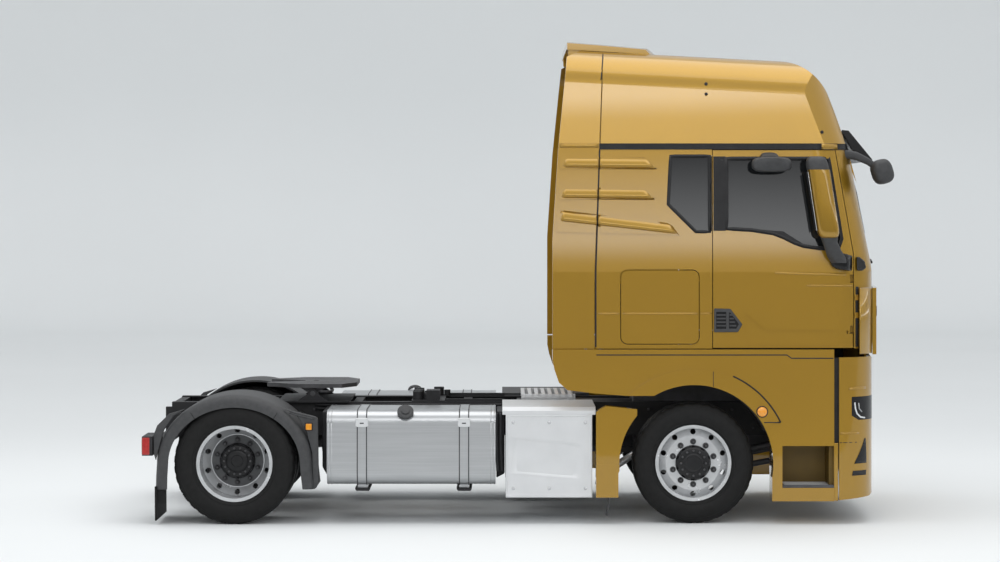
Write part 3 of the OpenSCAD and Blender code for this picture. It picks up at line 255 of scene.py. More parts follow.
def surface(name, low, high, rough, metallic=0.0, scale=40.0, grain=0.0, coat=0.0, stretch=(1, 1, 1)):
    """Material whose colour and roughness vary a little, with an optional fine grain."""
    material, tree, shader = new_material(name)
    shader.inputs["Metallic"].default_value = metallic
    broad = noise(tree, scale, 3.0, stretch)
    link(tree, ramp(tree, broad, low, high), shader.inputs["Base Color"])
    link(tree, spread(tree, broad, rough[0], rough[1]), shader.inputs["Roughness"])
    if grain:
        bump(tree, shader, noise(tree, 900.0, 1.0, stretch), 0.25, grain)
    if coat:
        shader.inputs["Coat Weight"].default_value = coat
        shader.inputs["Coat Roughness"].default_value = 0.04
    return material


def gold_paint():
    material, tree, shader = new_material("gold_paint")
    flakes = noise(tree, 1400.0, 1.0)
    link(tree, ramp(tree, flakes, (0.31, 0.172, 0.01), (0.4, 0.226, 0.016)), shader.inputs["Base Color"])
    shader.inputs["Metallic"].default_value = 0.72
    broad = noise(tree, 3.0, 2.0)
    link(tree, spread(tree, broad, 0.3, 0.36), shader.inputs["Roughness"])
    shader.inputs["Coat Weight"].default_value = 1.0
    shader.inputs["Coat Roughness"].default_value = 0.03
    return material


def tinted_glass():
    material, tree, shader = new_material("tinted_glass")
    colour = (0.01, 0.011, 0.012)
    tint = noise(tree, 2.0, 1.0)
    link(tree, ramp(tree, tint, colour, tuple(c * 1.15 for c in colour)), shader.inputs["Base Color"])
    shader.inputs["Roughness"].default_value = 0.03
    shader.inputs["Transmission Weight"].default_value = 0.22
    shader.inputs["IOR"].default_value = 1.42
    return material


GOLD = gold_paint()
BLACK = surface("black_chassis", (0.012, 0.012, 0.013), (0.022, 0.022, 0.024), (0.42, 0.6), scale=12.0)
STEEL = surface("dark_steel", (0.05, 0.05, 0.052), (0.085, 0.085, 0.09), (0.4, 0.6), metallic=0.5,
    scale=9.0)
PLASTIC = surface("dark_plastic", (0.03, 0.031, 0.033), (0.045, 0.046, 0.048), (0.5, 0.65), scale=30.0,
    grain=0.0006)
GLOSS = surface("gloss_black", (0.008, 0.008, 0.009), (0.014, 0.014, 0.015), (0.2, 0.3), scale=8.0,
    coat=0.06)
ALUMINIUM = surface("brushed_aluminium", (0.43, 0.44, 0.45), (0.48, 0.49, 0.5), (0.3, 0.36), metallic=1.0,
    scale=90.0, grain=0.0002, stretch=(0.02, 1, 1))
BOX_METAL = surface("box_metal", (0.6, 0.61, 0.62), (0.64, 0.65, 0.66), (0.36, 0.42), metallic=0.25,
    scale=6.0, grain=0.0002)
SILVER = surface("rim_silver", (0.48, 0.49, 0.5), (0.56, 0.57, 0.58), (0.22, 0.3), metallic=0.5, scale=10.0)
RIM_GREY = surface("rim_grey", (0.06, 0.062, 0.065), (0.085, 0.087, 0.09), (0.35, 0.5), metallic=0.4,
    scale=10.0)
RUBBER = surface("tyre_rubber", (0.005, 0.005, 0.005), (0.009, 0.009, 0.009), (0.5, 0.62), scale=25.0,
    grain=0.0006)
# Darker copy of the gold paint: painted shade for the inside of the step wells
GOLD_PAINTED_SHADE = surface("gold_painted_shade", (0.1, 0.06, 0.006), (0.13, 0.078, 0.008), (0.4, 0.5), metallic=0.3,
    scale=8.0)
GLASS = tinted_glass()
RED = surface("lamp_red", (0.34, 0.012, 0.01), (0.46, 0.022, 0.018), (0.1, 0.18), scale=60.0, coat=1.0)
CLOTH = surface("seat_cloth", (0.035, 0.036, 0.04), (0.06, 0.061, 0.066), (0.85, 0.95), scale=220.0,
    grain=0.002)

for material, level in ((BLACK, 0.3), (GLOSS, 0.25), (RUBBER, 0.22)):
    material.node_tree.nodes["Principled BSDF"].inputs["Specular IOR Level"].default_value = level

MATERIAL_NODES = (
    (BLACK, "frame_rails crossmembers front_axle front_springs rear_axle rear_suspension air_valves"),
    (BLACK, "arch_liners tail_lamps fifth_wheel_base cab_floor"),
    (STEEL, "engine driveline fifth_wheel_plate knuckle_right knuckle_left"),
    (ALUMINIUM, "fuel_tanks tank_straps"),
    (BOX_METAL, "silencer_box catwalk"),
    (PLASTIC, "battery_box rear_mudguards dashboard front_mirror"),
    (GOLD, "front_bumper fenders side_skirts cab_sides cab_rear_wall cab_front roof_cap roof_spoiler"),
    (GOLD, "side_deflectors door_right mirror_right door_left mirror_left"),
    (GOLD, "locker_lid_right locker_lid_left front_flap"),
    (GLOSS, "headlamps roof_ring sun_visor"),
    (GLASS, "windscreen side_windows door_glass_right door_glass_left"),
    (CLOTH, "seats bunk"),
    (RUBBER, "tyre_front_right tyre_front_left tyres_rear_right tyres_rear_left"),
    (SILVER, "rim_front_right rim_front_left rims_rear_right rims_rear_left"),
)
for material, names in MATERIAL_NODES:
    for name in names.split():
        mesh = nodes[name].data
        mesh.materials.clear()
        mesh.materials.append(material)

# Wheels: tyres with tread, nuts, hubs and bright rim lips
TYRE_HALF = [(0.475, 0.0), (0.475, 0.014), (0.475, 0.028), (0.461, 0.03), (0.461, 0.04), (0.475, 0.042),
    (0.475, 0.056), (0.475, 0.07), (0.461, 0.072), (0.461, 0.082), (0.475, 0.084), (0.4745, 0.1),
    (0.472, 0.11), (0.466, 0.119), (0.457, 0.126), (0.445, 0.132), (0.436, 0.1345), (0.434, 0.1375),
    (0.42, 0.1425), (0.4, 0.1475), (0.38, 0.15), (0.36, 0.1495), (0.34, 0.147), (0.329, 0.1435),
    (0.326, 0.146), (0.318, 0.1455), (0.312, 0.139), (0.304, 0.131), (0.299, 0.1262)]
TYRE_STEPS = 216
SIPE_EVERY = 6
SIPE_DEPTH = 0.005


def tyre_piece(name, centre, side, body):
    profile = [(r, -a) for r, a in reversed(TYRE_HALF[1:])] + TYRE_HALF
    n = len(profile)
    verts, faces = lathe_data(profile, centre, TYRE_STEPS, side)
    for i in range(TYRE_STEPS):
        turn = 2 * pi * i / TYRE_STEPS
        radial = Vector((cos(turn), 0, sin(turn)))
        for k, (r, a) in enumerate(profile):
            if i % SIPE_EVERY < 2 and 0.083 < abs(a) < 0.128 and r > 0.45:
                verts[i * n + k] = verts[i * n + k] - radial * SIPE_DEPTH
    obj = add_mesh(name, verts, faces, body, RUBBER)
    obj.data.set_sharp_from_angle(angle=radians(35))
    return obj


def ring_places(centre, side, radius, reach, count, start=0.5):
    turns = [2 * pi * (i + start) / count for i in range(count)]
    return [centre + Vector((radius * cos(t), side * reach, radius * sin(t))) for t in turns]


def wheel_nuts(kind, tag, centre, side, seat, bolt_height, body):
    """Washers, nuts and bolt ends of a wheel. The seat is the disc's face."""
    rows = (("washers", 0.0, 0.024, 0.005, STEEL, 20), ("nuts", 0.0045, 0.0165, 0.024, BLACK, 6),
        ("bolts", 0.0265, 0.01, bolt_height, STEEL, 12))
    for name, lift, radius, height, material, sides in rows:
        places = ring_places(centre, side, NUT_CIRCLE_R, seat + lift, 10)
        stud_piece(kind + name + tag, places, (0, side, 0), radius, height, body, material, sides)


FRONT_Y = 1.025
OUTER_Y = 1.09
INNER_Y = 0.755
TWIN_Y = 0.9225
NUT_CIRCLE_R = 0.1675
LIP_EDGE = [(0.284, 0.1255), (0.2985, 0.1265), (0.3, 0.124), (0.2995, 0.112)]
for tag, side in SIDES:
    body = "wheel_front" + tag
    centre = at(0, side * FRONT_Y, AXLE_Z)
    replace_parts(tyre_piece("front_tyre" + tag, centre, side, body), "tyre_front" + tag)
    wheel_nuts("front_", tag, centre, side, 0.1035, 0.01, body)
    turned_piece("front_hub" + tag, [(0.1395, 0.1), (0.1395, 0.112), (0.136, 0.118), (0.123, 0.139),
        (0.117, 0.1415), (0.078, 0.1415), (0.074, 0.145), (0.066, 0.147), (0.06, 0.147), (0.056, 0.144),
        (0.0, 0.144)], centre, side, body, GLOSS)
    stud_piece("front_hub_bolts" + tag, ring_places(centre, side, 0.098, 0.1412, 12, 0), (0, side, 0),
        0.0095, 0.009, body, STEEL)
    turned_piece("front_lip" + tag, [(0.2715, 0.06), (0.2715, 0.108), (0.276, 0.118)] + LIP_EDGE, centre,
        side, body, SILVER, 128)

    body = "wheels_rear" + tag
    outer = at(REAR_AXLE_X, side * OUTER_Y, AXLE_Z)
    inner = at(REAR_AXLE_X, side * INNER_Y, AXLE_Z)
    middle = at(REAR_AXLE_X, side * TWIN_Y, AXLE_Z)
    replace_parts(tyre_piece("rear_outer_tyre" + tag, outer, side, body), "tyres_rear" + tag)
    tyre_piece("rear_inner_tyre" + tag, inner, side, body)
    wheel_nuts("rear_", tag, middle, side, 0.0135, 0.012, body)
    turned_piece("rear_disc" + tag, [(0.139, 0.0145), (0.199, 0.0145), (0.204, 0.0138), (0.206, 0.01)],
        middle, side, body, RIM_GREY)
    turned_piece("rear_hub" + tag, [(0.1395, 0.0), (0.1395, 0.04), (0.136, 0.046), (0.123, 0.064),
        (0.118, 0.066), (0.09, 0.066), (0.086, 0.07), (0.07, 0.074), (0.048, 0.075), (0.044, 0.072),
        (0.0, 0.072)], middle, side, body, GLOSS)
    stud_piece("rear_hub_bolts" + tag, ring_places(middle, side, 0.104, 0.0655, 14, 0), (0, side, 0),
        0.0095, 0.009, body, STEEL)
    turned_piece("rear_lip" + tag, [(0.2715, -0.06), (0.2715, 0.095), (0.276, 0.115)] + LIP_EDGE, outer,
        side, body, SILVER, 128)

# Helpers for pieces that lie on the truck's sides
CAB_HALF = 1.225
CORNER_R = 0.32
LEAN_START_Z, LEAN_HEIGHT = 1.978, 1.008
FRONT_BOW_CENTRE = -5.075
NOSE_X = 1.499


def corner_reach(x, corner):
    """How far a round corner still reaches out from its centre, past the X where it starts."""
    return sqrt(max(CORNER_R ** 2 - (x - corner) ** 2, 0.0))


def skin(x, z):
    """Distance of the cab's side skin from the middle."""
    lean = min(max((z - LEAN_START_Z) / LEAN_HEIGHT, 0.0), 1.0)
    half = CAB_HALF - 0.038 * lean
    corner = 1.1132 - 0.203 * lean
    if x > corner:
        return half - CORNER_R + corner_reach(x, corner)
    return half


def flat(distance):
    """Side face at one distance from the middle."""
    return lambda x, z: distance


FENDER = flat(1.24)
BOX = flat(1.2)
STRAP = flat(1.2185)
GUARD_PANEL = flat(1.205)


def front_face(y, z):
    """Place of the bowed front, for a distance from the middle and a height."""
    bow = -3.625 + sqrt(26.5225 - (z - 1.457) ** 2)
    return FRONT_BOW_CENTRE + sqrt((bow - FRONT_BOW_CENTRE) ** 2 - y * y)


def fine(path, closed=False, step=0.05):
    """Path with points at most a step apart."""
    points = list(path) + ([path[0]] if closed else [])
    result = []
    for a, b in zip(points, points[1:]):
        count = max(1, ceil(dist(a, b) / step))
        result += [(a[0] + (b[0] - a[0]) * i / count, a[1] + (b[1] - a[1]) * i / count)
            for i in range(count)]
    if not closed:
        result.append(points[-1])
    return result


def strip(name, path, width, lift, side, body, material, depth=0.012, face=skin, shoulder=0.72,
        closed=False):
    """Low bar with softened edges along a path of X and Z on one side of the truck."""
    section = ((-1.0, -1.0), (-1.0, 0.45), (-shoulder, 1.0), (shoulder, 1.0), (1.0, 0.45), (1.0, -1.0))
    path = fine(path, closed)
    n = len(path)
    rings = []
    for i in range(n):
        before = path[i - 1] if closed or i else path[i]
        after = path[(i + 1) % n] if closed or i < n - 1 else path[i]
        run = Vector((after[0] - before[0], after[1] - before[1])).normalized()
        ring = []
        for across, up in section:
            x = path[i][0] - run.y * across * width / 2
            z = path[i][1] + run.x * across * width / 2
            ring.append(at(x, side * (face(x, z) + (up * lift if up > 0 else -depth)), z))
        rings.append(ring)
    return loft(name, rings, body, material, None, closed)


def patch(name, outline, lift, side, body, material, bevel=0.004, segments=2, depth=0.012, face=skin):
    """Plate that follows one side of the truck."""
    lower, upper = ([at(x, side * (face(x, z) + out), z) for x, z in outline] for out in (-depth, lift))
    return plate(name, lower, upper, body, material, bevel, segments)


def slab_faces(rows, columns):
    """Faces of two layers of points in rows, joined round the rim."""
    stride = columns + 1
    size = rows * stride
    faces = []
    for row in (layer * size + r * stride for layer in range(2) for r in range(rows - 1)):
        faces += [(i, i + 1, i + stride + 1, i + stride) for i in range(row, row + columns)]
    rim = list(range(stride)) + [r * stride + columns for r in range(1, rows)]
    rim += [size - 2 - i for i in range(columns)] + [r * stride for r in reversed(range(1, rows - 1))]
    return faces + [(a, b, b + size, a + size) for a, b in zip(rim, rim[1:] + rim[:1])]


def wrap(name, rows, side, material, face, columns=12, lift=0.004, depth=0.006):
    """Thin sheet on a curved side. Each row holds Z, the first X and the last X."""
    verts = []
    for layer in (-depth, lift):
        for z, left, right in rows:
            for i in range(columns + 1):
                x = left + (right - left) * i / columns
                verts.append(at(x, side * (face(x, z) + layer), z))
    return add_mesh(name, verts, slab_faces(len(rows), columns), "chassis", material)


def oval(half_a, half_b, power, count=36):
    """Points of a rounded box."""
    points = []
    for i in range(count):
        turn = 2 * pi * i / count
        c, s = cos(turn), sin(turn)
        points.append((half_a * copysign(abs(c) ** (2 / power), c), half_b * copysign(abs(s) ** (2 / power),
            s)))
    return points


def level_ring(x, y, z, half_x, half_y, power):
    return [at(x + a, y + b, z) for a, b in oval(half_x, half_y, power)]


def cross_ring(x, y, z, half_y, half_z, power=3.0):
    return [at(x, y + a, z + b) for a, b in oval(half_y, half_z, power)]


def side_ring(x, y, z, half_x, half_z, power=3.0, turn=0.0):
    c, s = cos(turn), sin(turn)
    return [at(x + a * c - b * s, y, z + a * s + b * c) for a, b in oval(half_x, half_z, power)]


# Cab and doors: window seals, black panels, creases, seams, handles
SIDE_WINDOW = [(-0.181, 2.887), (0.125, 2.887), (0.125, 2.293), (0.016, 2.293), (-0.201, 2.508)]
DOOR_WINDOW = [(0.256, 2.317), (0.45, 2.306), (0.62, 2.28), (0.7, 2.25), (0.79, 2.205), (0.86, 2.18),
    (0.98, 2.163), (1.13, 2.156), (1.162, 2.237), (1.065, 2.868), (0.256, 2.868)]
HANDLE = [(0.157, 1.693), (0.285, 1.69), (0.378, 1.568), (0.344, 1.508), (0.157, 1.506)]
for tag, side in SIDES:
    door = "door" + tag
    strip("side_window_seal" + tag, SIDE_WINDOW, 0.026, 0.0025, side, "cab", GLOSS, closed=True)
    strip("side_window_post" + tag, [(0.133, 2.298), (0.133, 2.884)], 0.018, 0.0025, side, "cab", GLOSS)
    strip("door_window_seal" + tag, DOOR_WINDOW, 0.03, 0.003, side, door, GLOSS, closed=True)
    patch("door_window_corner" + tag, [(0.45, 2.316), (0.7, 2.296), (0.86, 2.196), (0.98, 2.166),
        (0.975, 2.16), (0.86, 2.178), (0.79, 2.203), (0.7, 2.248), (0.62, 2.278), (0.45, 2.304)], 0.0028,
        side, door, GLOSS, 0.0)
    patch("door_post_panel" + tag, rect(0.153, 0.25, 2.3, 2.884), 0.0028, side, door, GLOSS, 0.002)
    strip("door_crease" + tag, [(0.634, 1.9715), (0.8, 1.966), (1.19, 1.9564)], 0.016, 0.006, side, door,
        GOLD)
    strip("door_low_crease" + tag, [(0.882, 1.873), (1.246, 1.87)], 0.013, 0.005, side, door, GOLD)
    strip("wall_crease" + tag, [(-0.755, 1.653), (-0.584, 1.653)], 0.013, 0.005, side, "cab", GOLD)
    strip("wall_crease_front" + tag, [(0.05, 1.653), (0.138, 1.653)], 0.013, 0.005, side, "cab", GOLD)
    strip("locker_crease" + tag, [(-0.56, 1.653), (0.028, 1.653)], 0.013, 0.005, side, "locker" + tag, GOLD)
    strip("deflector_seam" + tag, [(-0.769, 1.39), (-0.769, 1.978), (-0.738, 2.935)], 0.012, 0.0022, side,
        "cab", BLACK)
    patch("door_handle" + tag, HANDLE, 0.014, side, door, PLASTIC, 0.006, 3)
    # The handle's two recesses are gloss black plates, darker than the handle: painted shade in the
    # recesses
    patch("handle_pocket_painted_shade" + tag, rect(0.172, 0.252, 1.532, 1.668), 0.015, side, door, GLOSS, 0.003)
    patch("handle_grip_pocket_painted_shade" + tag, [(0.272, 1.534), (0.33, 1.534), (0.352, 1.57), (0.282, 1.664),
        (0.272, 1.664)], 0.015, side, door, GLOSS, 0.003)
    for i in range(4):
        z = 1.552 + 0.028 * i
        patch("handle_rib_%d" % i + tag, rect(0.176, 0.248, z, z + 0.012), 0.0185, side, door, PLASTIC,
            0.002)
        patch("handle_grip_rib_%d" % i + tag, rect(0.277, 0.33 - 0.01 * i, z, z + 0.012), 0.0185, side,
            door, PLASTIC, 0.002)
    strip("door_front_gap" + tag, [(1.283, 1.39), (1.283, 1.862)], 0.026, 0.0025, side, "cab", BLACK)
    for i, z in enumerate((1.615, 1.755)):
        patch("gap_hinge_%d" % i + tag, rect(1.262, 1.296, z, z + 0.045), 0.009, side, "cab", GOLD, 0.004)

# Mirrors
MIRROR = surface("mirror_glass", (0.75, 0.76, 0.77), (0.8, 0.81, 0.82), (0.02, 0.04), metallic=1.0,
    scale=3.0)
HEAD_Y = 1.388
HEAD_HALF_Y = 0.088


def head_at(t):
    """Rear edge, front edge and height of the main mirror's head, from its foot to its top."""
    return 0.947 - 0.078 * t, 1.12 - 0.079 * t, 2.262 + 0.515 * t


def head_rings(side, rows, power, shift=0.0):
    """Level rings of the main mirror's head. Each row holds a place along it and a scale."""
    rings = []
    for t, scale in rows:
        rear, front, z = head_at(t)
        rings.append(level_ring((rear + front) / 2 - shift, side * HEAD_Y, z, (front - rear) / 2 * scale,
            HEAD_HALF_Y * scale, power))
    return rings


HEAD_ROWS = ((-0.035, 0.45), (-0.02, 0.72), (0.0, 0.86), (0.04, 0.95), (0.1, 1.0), (0.5, 1.0), (0.9, 1.0),
    (1.0, 0.99))
CAP_ROWS = ((1.003, 0.985), (1.08, 0.97), (1.14, 0.9), (1.18, 0.76), (1.2, 0.5))
NECK_ROWS = ((1.035, 1.385, 2.275, 0.072, 0.06), (1.045, 1.375, 2.215, 0.058, 0.05),
    (1.075, 1.345, 2.15, 0.062, 0.046), (1.105, 1.305, 2.095, 0.07, 0.044), (1.13, 1.275, 2.05, 0.06, 0.04))
FOOT_ROWS = ((1.064, 1.222, 1.255, 2.05, 2.092), (1.076, 1.221, 1.284, 2.022, 2.112),
    (1.105, 1.22, 1.302, 2.004, 2.124), (1.145, 1.217, 1.307, 1.995, 2.128), (1.185, 1.21, 1.3, 1.99,
    2.122), (1.212, 1.203, 1.268, 1.988, 2.114), (1.23, 1.196, 1.214, 1.988, 2.108),
    (1.243, 1.186, 1.199, 1.988, 2.104))
GLASS_CORNERS = ((0.08, 1.325), (0.08, 1.451), (0.96, 1.451), (0.96, 1.325))
MIRROR_BASE = fine([(1.28, 1.988), (1.33, 1.986), (1.364, 2.008), (1.352, 2.06), (1.31, 2.092),
    (1.28, 2.098)], True, 0.03)
for tag, side in SIDES:
    door = "door" + tag
    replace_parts(loft("mirror_head" + tag, head_rings(side, HEAD_ROWS, 3.6), door, GOLD), "mirror" + tag)
    loft("mirror_cap" + tag, head_rings(side, CAP_ROWS, 3.4, 0.004), door, PLASTIC)
    inside, face = ([at(head_at(t)[0] - 0.001 - lift, side * y, head_at(t)[2]) for t, y in GLASS_CORNERS]
        for lift in (0.0, 0.006))
    plate("mirror_glass" + tag, inside, face, door, MIRROR, 0.003, 2)
    rings = [level_ring(x, side * y, z, half_x, half_y, 2.6) for x, y, z, half_x, half_y in NECK_ROWS]
    loft("mirror_neck" + tag, rings, door, PLASTIC)
    rings = []
    for x, y0, y1, z0, z1 in FOOT_ROWS:
        rings.append(cross_ring(x, side * (y0 + y1) / 2, (z0 + z1) / 2, (y1 - y0) / 2, (z1 - z0) / 2, 3.4))
    loft("mirror_foot" + tag, rings, door, GLOSS)
    patch("mirror_base" + tag, MIRROR_BASE, 0.028, side, "cab", GLOSS, 0.01, 3)

KERB_HEAD = ((1.262, 0.78), (1.27, 0.9), (1.285, 0.98), (1.32, 1.0), (1.38, 1.0), (1.405, 0.95),
    (1.418, 0.82))
KERB_NECK = ((1.18, 0.066, 0.024, 2.885), (1.23, 0.064, 0.026, 2.888), (1.28, 0.066, 0.028, 2.88),
    (1.33, 0.075, 0.026, 2.86))
FRONT_HEAD = ((0.935, 0.62), (0.945, 0.84), (0.965, 0.96), (1.0, 1.0), (1.1, 1.0), (1.145, 0.95),
    (1.165, 0.82), (1.175, 0.6))
FRONT_ARM = ((1.105, 1.005, 2.905, 0.028, 0.03), (1.2, 1.01, 2.908, 0.028, 0.034),
    (1.3, 1.015, 2.89, 0.027, 0.034), (1.38, 1.025, 2.852, 0.026, 0.031), (1.43, 1.035, 2.818, 0.026,
    0.032), (1.47, 1.04, 2.79, 0.026, 0.03))
rings = [side_ring(0.595, -y, 2.818, 0.153 * scale, 0.06 * scale, 3.2) for y, scale in KERB_HEAD]
loft("kerb_mirror_head", rings, "door_right", PLASTIC)
rings = [side_ring(0.588, -y, z, half_x, half_z) for y, half_x, half_z, z in KERB_NECK]
loft("kerb_mirror_neck", rings, "door_right", PLASTIC)
rings = [side_ring(1.497, -y, 2.766, 0.08 * scale, 0.098 * scale, 2.8, 0.3) for y, scale in FRONT_HEAD]
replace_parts(loft("front_mirror_head", rings, "cab", PLASTIC), "front_mirror")
rings = [cross_ring(x, -y, z, half_y, half_z) for x, y, z, half_y, half_z in FRONT_ARM]
loft("front_mirror_arm", rings, "cab", PLASTIC)

# Front end: lamps, gaps, flare lines, steps, tubes under the cab
AMBER = surface("lamp_amber", (0.72, 0.26, 0.01), (0.82, 0.33, 0.016), (0.1, 0.16), scale=60.0, coat=1.0)
LIGHT_STRIP = surface("lamp_strip", (0.6, 0.62, 0.63), (0.7, 0.72, 0.73), (0.15, 0.25), scale=20.0,
    coat=0.8)

BUMPER_CORNER_X = 1.111
MARKER = (0.531, 1.256, 0.886)


def bumper_face(x, z):
    if x > BUMPER_CORNER_X:
        return 0.92 + corner_reach(x, BUMPER_CORNER_X)
    return 1.24


def arc(radius, start, end, count):
    turns = [radians(start + (end - start) * i / count) for i in range(count + 1)]
    return [(radius * cos(t), AXLE_Z + radius * sin(t)) for t in turns]


for tag, side in SIDES:
    strip("running_light" + tag, [(1.262, 0.955), (1.268, 0.905), (1.282, 0.866), (1.312, 0.838),
        (1.352, 0.83)], 0.012, 0.004, side, "chassis", LIGHT_STRIP, 0.004, bumper_face)
    strip("inner_light" + tag, [(1.296, 0.95), (1.3, 0.905), (1.325, 0.878)], 0.009, 0.003, side, "chassis",
        ALUMINIUM, 0.004, bumper_face)
    wrap("lower_lamp" + tag, ((0.671, 1.348, 1.358), (0.61, 1.325, 1.362), (0.55, 1.298, 1.364),
        (0.5, 1.27, 1.365), (0.475, 1.258, 1.365)), side, GLOSS, bumper_face)
    wrap("lower_vent" + tag, ((0.42, 1.248, 1.362), (0.4, 1.243, 1.362), (0.382, 1.24, 1.36)), side, BLACK,
        bumper_face)
    strip("bumper_crease" + tag, [(1.14, 0.716), (1.3, 0.714)], 0.014, 0.005, side, "chassis", GOLD, 0.01,
        bumper_face)
    strip("bumper_seam" + tag, [(1.14, 0.643), (1.318, 0.643)], 0.006, 0.0012, side, "chassis", BLACK,
        0.004, bumper_face)
    strip("lamp_brow" + tag, [(1.215, 1.062), (1.28, 1.068), (1.36, 1.066)], 0.02, 0.007, side, "chassis",
        GOLD, 0.01, bumper_face)
    patch("bumper_gap" + tag, rect(1.094, 1.14, 0.64, 1.306), 0.0, side, "chassis", BLACK, 0.002, 1, 0.015,
        flat(1.205))
    strip("flare_line" + tag, arc(0.752, 66, 25.8, 14), 0.012, 0.0018, side, "chassis", BLACK, 0.006,
        FENDER)
    strip("flare_end" + tag, [(0.545, 0.802), (0.676, 0.802)], 0.011, 0.017, side, "chassis", BLACK, 0.006,
        FENDER)
    strip("flare_seam" + tag, [(0.149, 1.082), (0.149, 1.2)], 0.005, 0.0008, side, "chassis", BLACK, 0.006,
        flat(1.256))
    strip("sill_line" + tag, [(-0.765, 1.329), (0.726, 1.329), (0.762, 1.303), (1.09, 1.303)], 0.009,
        0.0016, side, "chassis", BLACK, 0.006, FENDER)
    marker = at(MARKER[0], side * MARKER[1], MARKER[2])
    turned_piece("marker_rim" + tag, [(0.046, -0.004), (0.046, 0.005), (0.043, 0.008), (0.039, 0.006),
        (0.039, -0.004)], marker, side, "chassis", BLACK, 40)
    turned_piece("marker_lens" + tag, [(0.0385, -0.004), (0.0375, 0.006), (0.03, 0.011), (0.018, 0.0135),
        (0.0, 0.0142)], marker, side, "chassis", AMBER, 40)
    block("step_post" + tag, rect(1.0945, 1.128, 0.187, 0.64), 1.185, 1.238, side, GOLD, 0.005, 3)
    # The step well's end and back are lined with the darker gold: painted shade inside the well
    block("step_well_end_painted_shade" + tag, rect(1.06, 1.126, 0.303, 0.64), 0.93, 1.186, side, GOLD_PAINTED_SHADE, 0.004)
    block("step_well_back_painted_shade" + tag, rect(0.694, 1.062, 0.303, 0.636), 0.93, 0.946, side, GOLD_PAINTED_SHADE, 0.004)
    inner, outer_y = sorted((side * 0.948, side * 1.232))
    prism("step_tread" + tag, rect(0.695, 1.092, inner, outer_y), 0.289, 0.301, "chassis", STEEL, "z",
        0.003)
    for i in range(8):
        y = inner + 0.024 + i * 0.036
        prism("step_rib_%d" % i + tag, rect(0.715, 1.075, y, y + 0.012), 0.3, 0.308, "chassis", ALUMINIUM,
            "z", 0.002)
    block("step_sill" + tag, rect(0.693, 1.094, 0.289, 0.313), 1.228, 1.2405, side, STEEL, 0.003)
    for i, (low, high) in enumerate(((0.5, 0.585), (0.375, 0.455))):
        tube("step_tube_%d" % i + tag, side_path(side, (0.4, 0.41, low), (0.55, 0.43, low + 0.03),
            (0.8, 0.46, high)), 0.024, "chassis", STEEL)
    tube("rear_rod" + tag, side_path(side, (-0.4, 0.415, 0.5), (-0.52, 0.415, 0.42), (-0.66, 0.415, 0.33)),
        0.03, "chassis", SILVER)
    block("spray_flap" + tag, [(-0.662, 0.216), (-0.65, 0.216), (-0.676, 0.068), (-0.689, 0.068)], 1.14,
        1.232, side, PLASTIC, 0.003)
    strip("skirt_seam" + tag, [(-0.764, 0.47), (-0.6, 0.47)], 0.004, 0.0008, side, "chassis", GOLD, 0.004,
        FENDER)


# Tanks, boxes and frame
def tank_ring(x, side, grow, count=8):
    """Path round the tank at one place along it."""
    low_y, high_y = 0.525 - grow, 1.215 + grow
    low_z, high_z = 0.309 - grow, 0.892 + grow
    radius = 0.095 + grow
    path = []
    for cy, cz, start in ((high_y - radius, high_z - radius, 0), (low_y + radius, high_z - radius, 90),
            (low_y + radius, low_z + radius, 180), (high_y - radius, low_z + radius, 270)):
        for i in range(count + 1):
            turn = radians(start + 90 * i / count)
            path.append(at(x, side * (cy + radius * cos(turn)), cz + radius * sin(turn)))
    return path + [path[0]]


for tag, side in SIDES:
    for i, x in enumerate((-2.866, -2.84, -1.59, -1.564)):
        tube("tank_seam_%d" % i + tag, tank_ring(x, side, -0.002), 0.0052, "chassis", ALUMINIUM, 8)
    for i, x in enumerate((-2.601, -1.801)):
        patch("strap_clasp_%d" % i + tag, [(x - 0.05, 0.77), (x - 0.03, 0.764), (x + 0.03, 0.764),
            (x + 0.05, 0.77), (x + 0.046, 0.835), (x - 0.046, 0.835)], 0.022, side, "chassis", BOX_METAL,
            0.006, 3, 0.01, STRAP)
        # Black plate on the clasp: painted shade for the dark of the slot
        patch("strap_slot_painted_shade_%d" % i + tag, rect(x - 0.016, x + 0.016, 0.79, 0.8), 0.0235, side, "chassis",
            BLACK, 0.002, 2, 0.002, STRAP)
        stud_piece("strap_bolt_%d" % i + tag, [at(x - 0.05, side * 1.08, 0.262),
            at(x + 0.05, side * 1.08, 0.262)], (0, side, 0), 0.009, 0.014, "chassis", SILVER, 6)
        for k, edge in enumerate((-0.036, 0.036)):
            tube("strap_edge_%d_%d" % (i, k) + tag, tank_ring(x + edge, side, 0.004), 0.0045, "chassis",
                STEEL, 8)
        block("tank_shoe_%d" % i + tag, [(x - 0.05, 0.25), (x + 0.05, 0.25), (x + 0.062, 0.274),
            (x - 0.062, 0.274)], 0.4, 1.1, side, BLACK, 0.005)
    tilt = Vector((0, side * 0.766, 0.643))
    cap = at(-2.26, side * 1.1751, 0.8521)
    stud_piece("tank_neck" + tag, [cap], tilt, 0.0575, 0.03, "chassis", ALUMINIUM, 40)
    stud_piece("tank_cap" + tag, [cap + tilt * 0.03], tilt, 0.064, 0.03, "chassis", PLASTIC, 24, 0.002)
    stud_piece("tank_cap_grip" + tag, [cap + tilt * 0.06], tilt, 0.034, 0.01, "chassis", PLASTIC, 12, 0.002)
    rows = [at(-4.05 + 0.17 * i, side * 0.385, z) for i in range(29) for z in (0.69, 0.84)]
    stud_piece("rail_bolts" + tag, rows, (0, side, 0), 0.013, 0.011, "chassis", STEEL, 6, 0.001)
    for i, (y, z) in enumerate(((0.415, 0.88), (0.412, 0.85))):
        tube("rail_line_%d" % i + tag, side_path(side, (-3.02, y, z), (-2.6, y + 0.004, z - 0.006),
            (-2.2, y, z), (-1.8, y + 0.003, z - 0.005), (-1.48, y, z)), 0.011, "chassis", BLACK)

